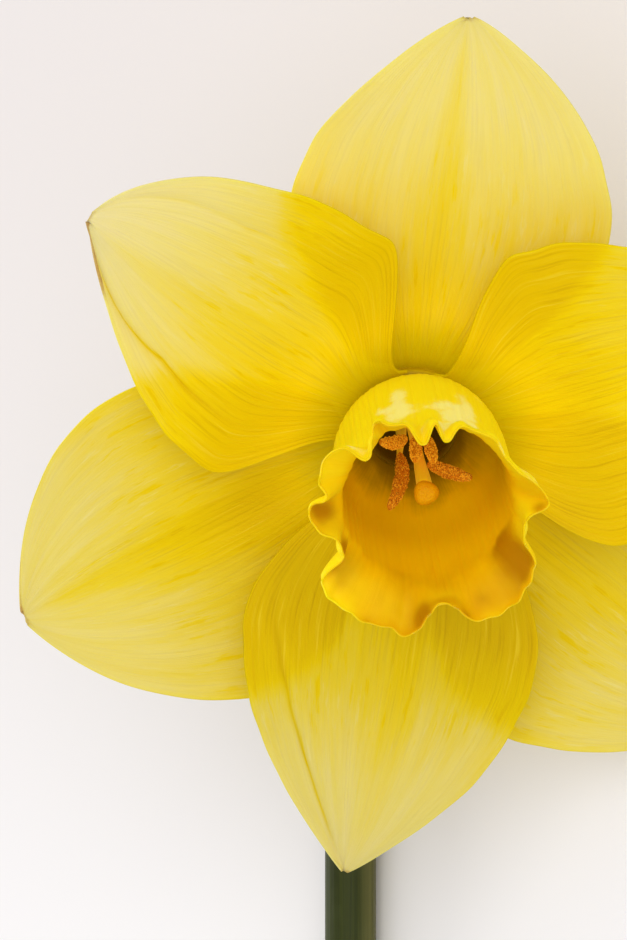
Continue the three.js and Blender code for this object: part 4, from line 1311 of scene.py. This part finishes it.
def make_sheath(settings, finish):
    """The dry sheath: a sleeve round the foot of the neck that opens into a pointed hood behind the ovary.

    Its line follows the neck and then goes straighter on. Its section is an arc that starts as almost a full
    turn and opens out wide and flat; crumples run along it as seeded waves that grow towards its edges."""
    first, last, clasp, stiffness, opening = 0.08, 1.4, 0.32, 0.6, 6
    samples, _ = neck_at(np.linspace(0, 1, 400))
    neck_length = np.linalg.norm(np.diff(samples, axis=0), axis=1).sum()

    def line(t):
        past_neck = np.maximum(t - 1, 0)[..., None] * neck_length * FLOWER_AXIS
        along_neck = neck_at(np.minimum(t, 1))[0] + past_neck
        start, direction = neck_at(clasp)
        straight_on = start + (t - clasp)[..., None] * neck_length * direction
        return lerp(along_neck, straight_on, (stiffness * smooth(t, clasp, 1.2))[..., None])

    rows, columns = 150, 90
    u = np.linspace(0, 1, rows)[:, None]
    v = np.linspace(-1, 1, columns)[None]
    t = lerp(first, last, u)
    side, back = stem_frame(unit(line(t + 0.01) - line(t - 0.01)))
    opened = smooth(t, clasp, 0.9)
    snug = NECK_RADIUS + GAP + 0.3
    radius = snug + opening * opened
    ragged = 1 + 0.05 * ripples(u, 151, 5, 24) * smooth(u, 0.1, 0.4)
    angle = v * lerp(math.radians(150), math.radians(42), opened) * np.maximum(1 - u**4, 0.02) * ragged
    crumple = opened * (0.22 * ripples(0.5 * v + 0.5 + 0.12 * u, 152, 3, 11) * (1 - 0.5 * u)
                        + 0.18 * np.abs(v) ** 2 * ripples(u, 153, 2, 7)
                        + 0.07 * ripples(0.5 * v + 0.5, 154, 14, 30))
    out = radius + crumple
    middle = (line(t) + back * (snug - radius + out * np.cos(angle))[..., None]
              + side * (out * np.sin(angle))[..., None])
    points = blade_points(middle, np.full(middle.shape[:2], settings.sheath / MM))
    twice = lambda values: np.concatenate([np.broadcast_to(values, (rows, columns)).ravel()] * 2)
    uv = np.stack([twice(v), twice(u * 3.0)], -1)
    make_piece("paper_sheath", from_plant(points), [blade_faces(rows, columns)], finish,
               ["sheath"], uv, {"along": twice(u), "edge": twice(1 - np.abs(v))})


def sheath_finish(settings):
    """Dry papery skin: pale brown with darker parallel fibres, a crisp edge and a sheen."""
    finish = Finish("dry_paper", {"Subsurface Weight": 0.25, "Subsurface Radius": (1, 0.7, 0.4),
                                  "Subsurface Scale": 0.6 * MM, "Specular IOR Level": 0.3})
    fibres = finish.noise(finish.uv(16, 0.7), 1, 3, 0.6)
    fine = finish.noise(finish.uv(60, 4), 1, 2)
    stains = finish.noise(finish.place(), 210, 3, 0.6)
    colour = finish.mix(fibres.step(0.42, 0.7), tuple(settings.paper), tuple(settings.fibre))
    colour = finish.mix(stains.step(0.5, 0.8) * 0.6, colour, srgb(214, 190, 148))
    colour = finish.mix(finish.field("edge").step(0.08, 0.0) * 0.7, colour, srgb(104, 72, 38))
    return finish.complete(Base_Color=colour, Roughness=0.6 + 0.2 * (stains - 0.5),
                         Normal=finish.bump(0.7 * fibres + 0.3 * fine, 0.16))


def make_ovary(finish):
    """The ovary: an egg along the flower's axis, three-lobed, with a fine furrow down the middle of each
    lobe."""
    rows, sides = 80, 96
    angles = 2 * np.pi * np.arange(sides) / sides
    t = np.linspace(0, 1, rows)[:, None]
    swell = np.sin(np.pi * lerp(0.12, 0.9, t)) ** 0.6
    radius = lerp(NECK_RADIUS, 0.35 * NECK_RADIUS + 2, t) * (1 - swell) + 3.7 * swell
    lobes = 1 + 0.05 * swell * np.cos(3 * angles) + 0.01 * np.cos(9 * angles)
    furrow = 0.12 * swell * np.exp(-(((np.cos(3 * angles) - 1) / 0.06) ** 2))
    lines = 0.03 * ripples(angles / (2 * np.pi), 161, 12, 40, 8)
    centres = np.stack([0 * t[:, 0], 0 * t[:, 0], OVARY_TOP - OVARY_LENGTH * (1 - t[:, 0])], -1)
    across, up = (np.broadcast_to(axis, centres.shape) for axis in ([1.0, 0, 0], [0, 1.0, 0]))
    rings = ring_grid(centres, across, up, radius * lobes - furrow + lines, angles)
    side_faces, caps = loft_faces(rows, sides)
    shape = rings.shape[:2]
    uv = np.stack([loft_field(np.broadcast_to(angles * 0.37, shape)),
                   loft_field(np.broadcast_to(t * 1.1, shape))], -1)
    make_piece("green_ovary", from_flower(loft_points(rings)), [side_faces, caps], finish,
               ["ovary"], uv,
               {"high": loft_field(np.broadcast_to(t * 0.3, shape)), "flesh": np.zeros(rows * sides + 2)})


def ovary_finish(settings):
    """Fresh green skin with lighter lines along it."""
    finish = Finish("ovary", {"Subsurface Weight": 0.08, "Subsurface Radius": (0.5, 0.8, 0.2),
                              "Subsurface Scale": 1.0 * MM, "Specular IOR Level": 0.4})
    lines = finish.noise(finish.uv(24, 0.7), 1, 3, 0.6)
    clouds = finish.noise(finish.place(), 420, 3, 0.6)
    colour = finish.mix(lines.step(0.35, 0.7) * 0.6, tuple(settings.ovary), srgb(124, 140, 62))
    colour = finish.mix(clouds.step(0.45, 0.8) * 0.4, colour, tuple(settings.bloom))
    return finish.complete(Base_Color=colour, Roughness=0.44 + 0.2 * (clouds - 0.5),
                         Normal=finish.bump(lines, 0.08))


def make_tube(settings):
    """The flower tube: a profile turned round the flower's axis, from the ovary up to a collar under the
    tepals and the step that bears the cup, with the nectar bore inside. Six shallow ribs run up its
    outside."""
    lip = CUP_BOTTOM - 0.4
    outside = np.array([(2.7, OVARY_TOP + GAP), (2.9, -20), (3.5, -14), (4.5, -9), (5.8, -6.7), (7.4, -5.6),
                        (8.1, -5), (8.1, -4.7), (6.4, lip - 0.5), (6.4, lip)])
    inside = np.array([(4.9, lip), (4.6, lip - 1), (3.6, -9), (2.6, -14), (2.1, TUBE_FLOOR + 1),
                       (0.8, TUBE_FLOOR)])
    profile = []
    for knots, count in ((outside, 90), (inside, 50)):
        at = np.concatenate([[0], np.cumsum(np.linalg.norm(np.diff(knots, axis=0), axis=1))])
        s = np.linspace(0, at[-1], count)
        profile.append(np.stack([np.interp(s, at, knots[:, 0]), np.interp(s, at, knots[:, 1])], -1))
    profile = np.concatenate(profile)
    sides = 96
    angles = 2 * np.pi * np.arange(sides) / sides
    is_outside = (np.arange(len(profile)) < 90)[:, None]
    up_tube = profile[:, 1:]
    fade = smooth(up_tube, lip - 1, lip - 5) * smooth(up_tube, OVARY_TOP, OVARY_TOP + 3)
    relief = 0.1 * (np.cos(6 * angles) - 1) + 0.03 * ripples(angles / (2 * np.pi), 171, 14, 40)
    ribs = is_outside * fade * relief
    centres = np.stack([0 * profile[:, 0], 0 * profile[:, 0], profile[:, 1]], -1)
    across, up = (np.broadcast_to(axis, centres.shape) for axis in ([1.0, 0, 0], [0, 1.0, 0]))
    rings = ring_grid(centres, across, up, profile[:, :1] + ribs, angles)
    side_faces, caps = loft_faces(len(rings), sides)
    shape = rings.shape[:2]
    uv = np.stack([loft_field(np.broadcast_to(angles * 0.4, shape)),
                   loft_field(np.broadcast_to(up_tube / 10, shape))], -1)
    high = smooth(up_tube, OVARY_TOP, lip)
    bore = np.where(is_outside, 0.0, 1.0)

    finish = Finish("flower_tube", {"Subsurface Weight": 0.2, "Subsurface Radius": (0.8, 0.8, 0.2),
                                    "Subsurface Scale": 0.8 * MM, "Specular IOR Level": 0.1})
    lines = finish.noise(finish.uv(26, 0.8), 1, 2)
    rising = finish.field("high")
    colour = finish.mix((rising + 0.3 * (lines - 0.5)).step(0.1, 0.85), srgb(112, 124, 44),
                        tuple(settings.tube))
    colour = finish.mix(rising.step(0.6, 0.9), colour, srgb(226, 196, 6))
    # Painted shade: the bore inside the tube is painted darker.
    colour = finish.mix(finish.field("bore"), colour, srgb(120, 96, 6))
    finish.complete(Base_Color=colour, Roughness=0.45 + 0.12 * (lines - 0.5), Normal=finish.bump(lines, 0.08))
    make_piece("green_tube", from_flower(loft_points(rings)), [side_faces, caps], finish,
               ["tube"], uv, {"high": loft_field(np.broadcast_to(high, shape)),
                    "bore": loft_field(np.broadcast_to(bore, shape))})


class DAFFODIL_OT_greens(bpy.types.Operator):
    """Make the stem with its neck, the ovary, the flower tube and the dry sheath"""

    bl_idname = "daffodil.greens"
    bl_label = "Stem, ovary, tube and sheath"

    def execute(self, context):
        settings = context.scene.daffodil_greens
        skin = stem_finish(settings)
        make_stem(settings, skin)
        make_ovary(ovary_finish(settings))
        make_tube(settings)
        make_sheath(settings, sheath_finish(settings))
        return {"FINISHED"}


# ------------------------------------------------------------------ stage

CAMERA_ASIDE = (-11.2, -3.79, 420)      # from the throat, in the plant's frame, millimetres
VIEW_OUT = ROLL @ np.array([0, 0, 1])   # from the flower to the camera
VIEW_UP = np.array([0, 1.0, 0])


def aimed(thing, at, towards, up=VIEW_UP):
    """Puts an object at a place, looking along -Z towards a point, with +Y up."""
    back = unit(at - towards)
    right = unit(np.cross(up, back))
    rows = np.stack([right, np.cross(back, right), back, at], 1)
    thing.matrix_world = Matrix([*rows.tolist(), [0, 0, 0, 1]])
    bpy.context.scene.collection.objects.link(thing)
    return thing


class DAFFODIL_OT_stage(bpy.types.Operator):
    """Make the floor, the lights and the camera"""

    bl_idname = "daffodil.stage"
    bl_label = "Stage"

    def execute(self, context):
        settings = context.scene.daffodil_stage
        scene = context.scene
        scene.view_settings.view_transform = "Standard"

        world = bpy.data.worlds.new("even_light")
        world.use_nodes = True
        world.node_tree.nodes["Background"].inputs["Color"].default_value = (1, 0.988, 0.984, 1)
        world.node_tree.nodes["Background"].inputs["Strength"].default_value = settings.sky
        scene.world = world

        finish = Finish("floor", {"Specular IOR Level": 0.1})
        grain = finish.noise(finish.place(), 900, 3, 0.6)
        along = finish.node("ShaderNodeSeparateXYZ", None, {0: finish.place()}, output="Y")
        # Painted light: the floor is lighter towards the stem.
        colour = finish.mix(along.step(0.12, -0.08), tuple(settings.floor), tuple(settings.near))
        aside = finish.node("ShaderNodeSeparateXYZ", None, {0: finish.place()}, output="X")
        # Painted light: a white patch beside the stem, over the flower's shadow.
        colour = finish.mix(along.step(-0.02, -0.09) * aside.step(-0.09, -0.04), colour, (1, 1, 1))
        colour = finish.mix(grain * 0.03, colour, srgb(228, 226, 226))
        finish.complete(Base_Color=colour, Roughness=0.9 + 0.05 * (grain - 0.5))
        mesh = bpy.data.meshes.new("floor")
        reach = 3.0
        mesh.from_pydata([(-reach, -reach, 0), (reach, -reach, 0), (reach, reach, 0), (-reach, reach, 0)], [],
                         [(0, 1, 2, 3)])
        mesh.materials.append(finish.material)
        floor = bpy.data.objects.new("floor", mesh)
        scene.collection.objects.link(floor)

        throat = from_plant(THROAT[None])[0]
        for name, offset, size, power in (
            ("key_light", 0.9 * VIEW_OUT + np.array([-0.05, 0.14, 0.1]), 0.9, settings.key),
            ("back_light", np.array([-0.7, 0.15, 0.12]), 0.4, settings.back),
        ):
            light = bpy.data.lights.new(name, "AREA")
            light.shape = "DISK"
            light.size = size
            light.energy = power
            light.color = (1, 0.995, 0.985)
            aimed(bpy.data.objects.new(name, light), throat + offset, throat)

        lens = bpy.data.cameras.new("camera")
        lens.lens = settings.lens / MM
        lens.sensor_width = 36
        lens.sensor_fit = "AUTO"
        lens.clip_start = 0.01
        lens.clip_end = 20
        at = from_plant((THROAT + np.array(CAMERA_ASIDE))[None])[0]
        scene.camera = aimed(bpy.data.objects.new("camera", lens), at, at - VIEW_OUT)
        return {"FINISHED"}


# ------------------------------------------------------------------ add-on

STEPS = ("stage", "greens", "tepals", "cup", "heart")


class DAFFODIL_PT_panel(bpy.types.Panel):
    """Buttons that make the daffodil, and its settings"""

    bl_idname = "DAFFODIL_PT_panel"
    bl_label = "Daffodil"
    bl_space_type = "VIEW_3D"
    bl_region_type = "UI"
    bl_category = "Daffodil"

    def draw(self, context):
        for step in STEPS:
            self.layout.operator(f"daffodil.{step}")
            settings = getattr(context.scene, f"daffodil_{step}")
            for key in settings.bl_rna.properties.keys():
                if key not in ("rna_type", "name"):
                    self.layout.prop(settings, key)


CLASSES = (
    DaffodilTepals, DaffodilCup, DaffodilHeart, DaffodilGreens, DaffodilStage,
    DAFFODIL_OT_tepals, DAFFODIL_OT_cup, DAFFODIL_OT_heart, DAFFODIL_OT_greens, DAFFODIL_OT_stage,
    DAFFODIL_PT_panel,
)
SETTINGS = {
    "daffodil_stage": DaffodilStage, "daffodil_greens": DaffodilGreens, "daffodil_tepals": DaffodilTepals,
    "daffodil_cup": DaffodilCup, "daffodil_heart": DaffodilHeart,
}


def register():
    for each in CLASSES:
        bpy.utils.register_class(each)
    for name, group in SETTINGS.items():
        setattr(bpy.types.Scene, name, PointerProperty(type=group))


def unregister():
    for name in SETTINGS:
        delattr(bpy.types.Scene, name)
    for each in reversed(CLASSES):
        bpy.utils.unregister_class(each)


def main():
    """Makes every piece."""
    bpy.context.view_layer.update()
    register()
    for step in STEPS:
        getattr(bpy.ops.daffodil, step)()


if __name__ == "__main__":
    main()
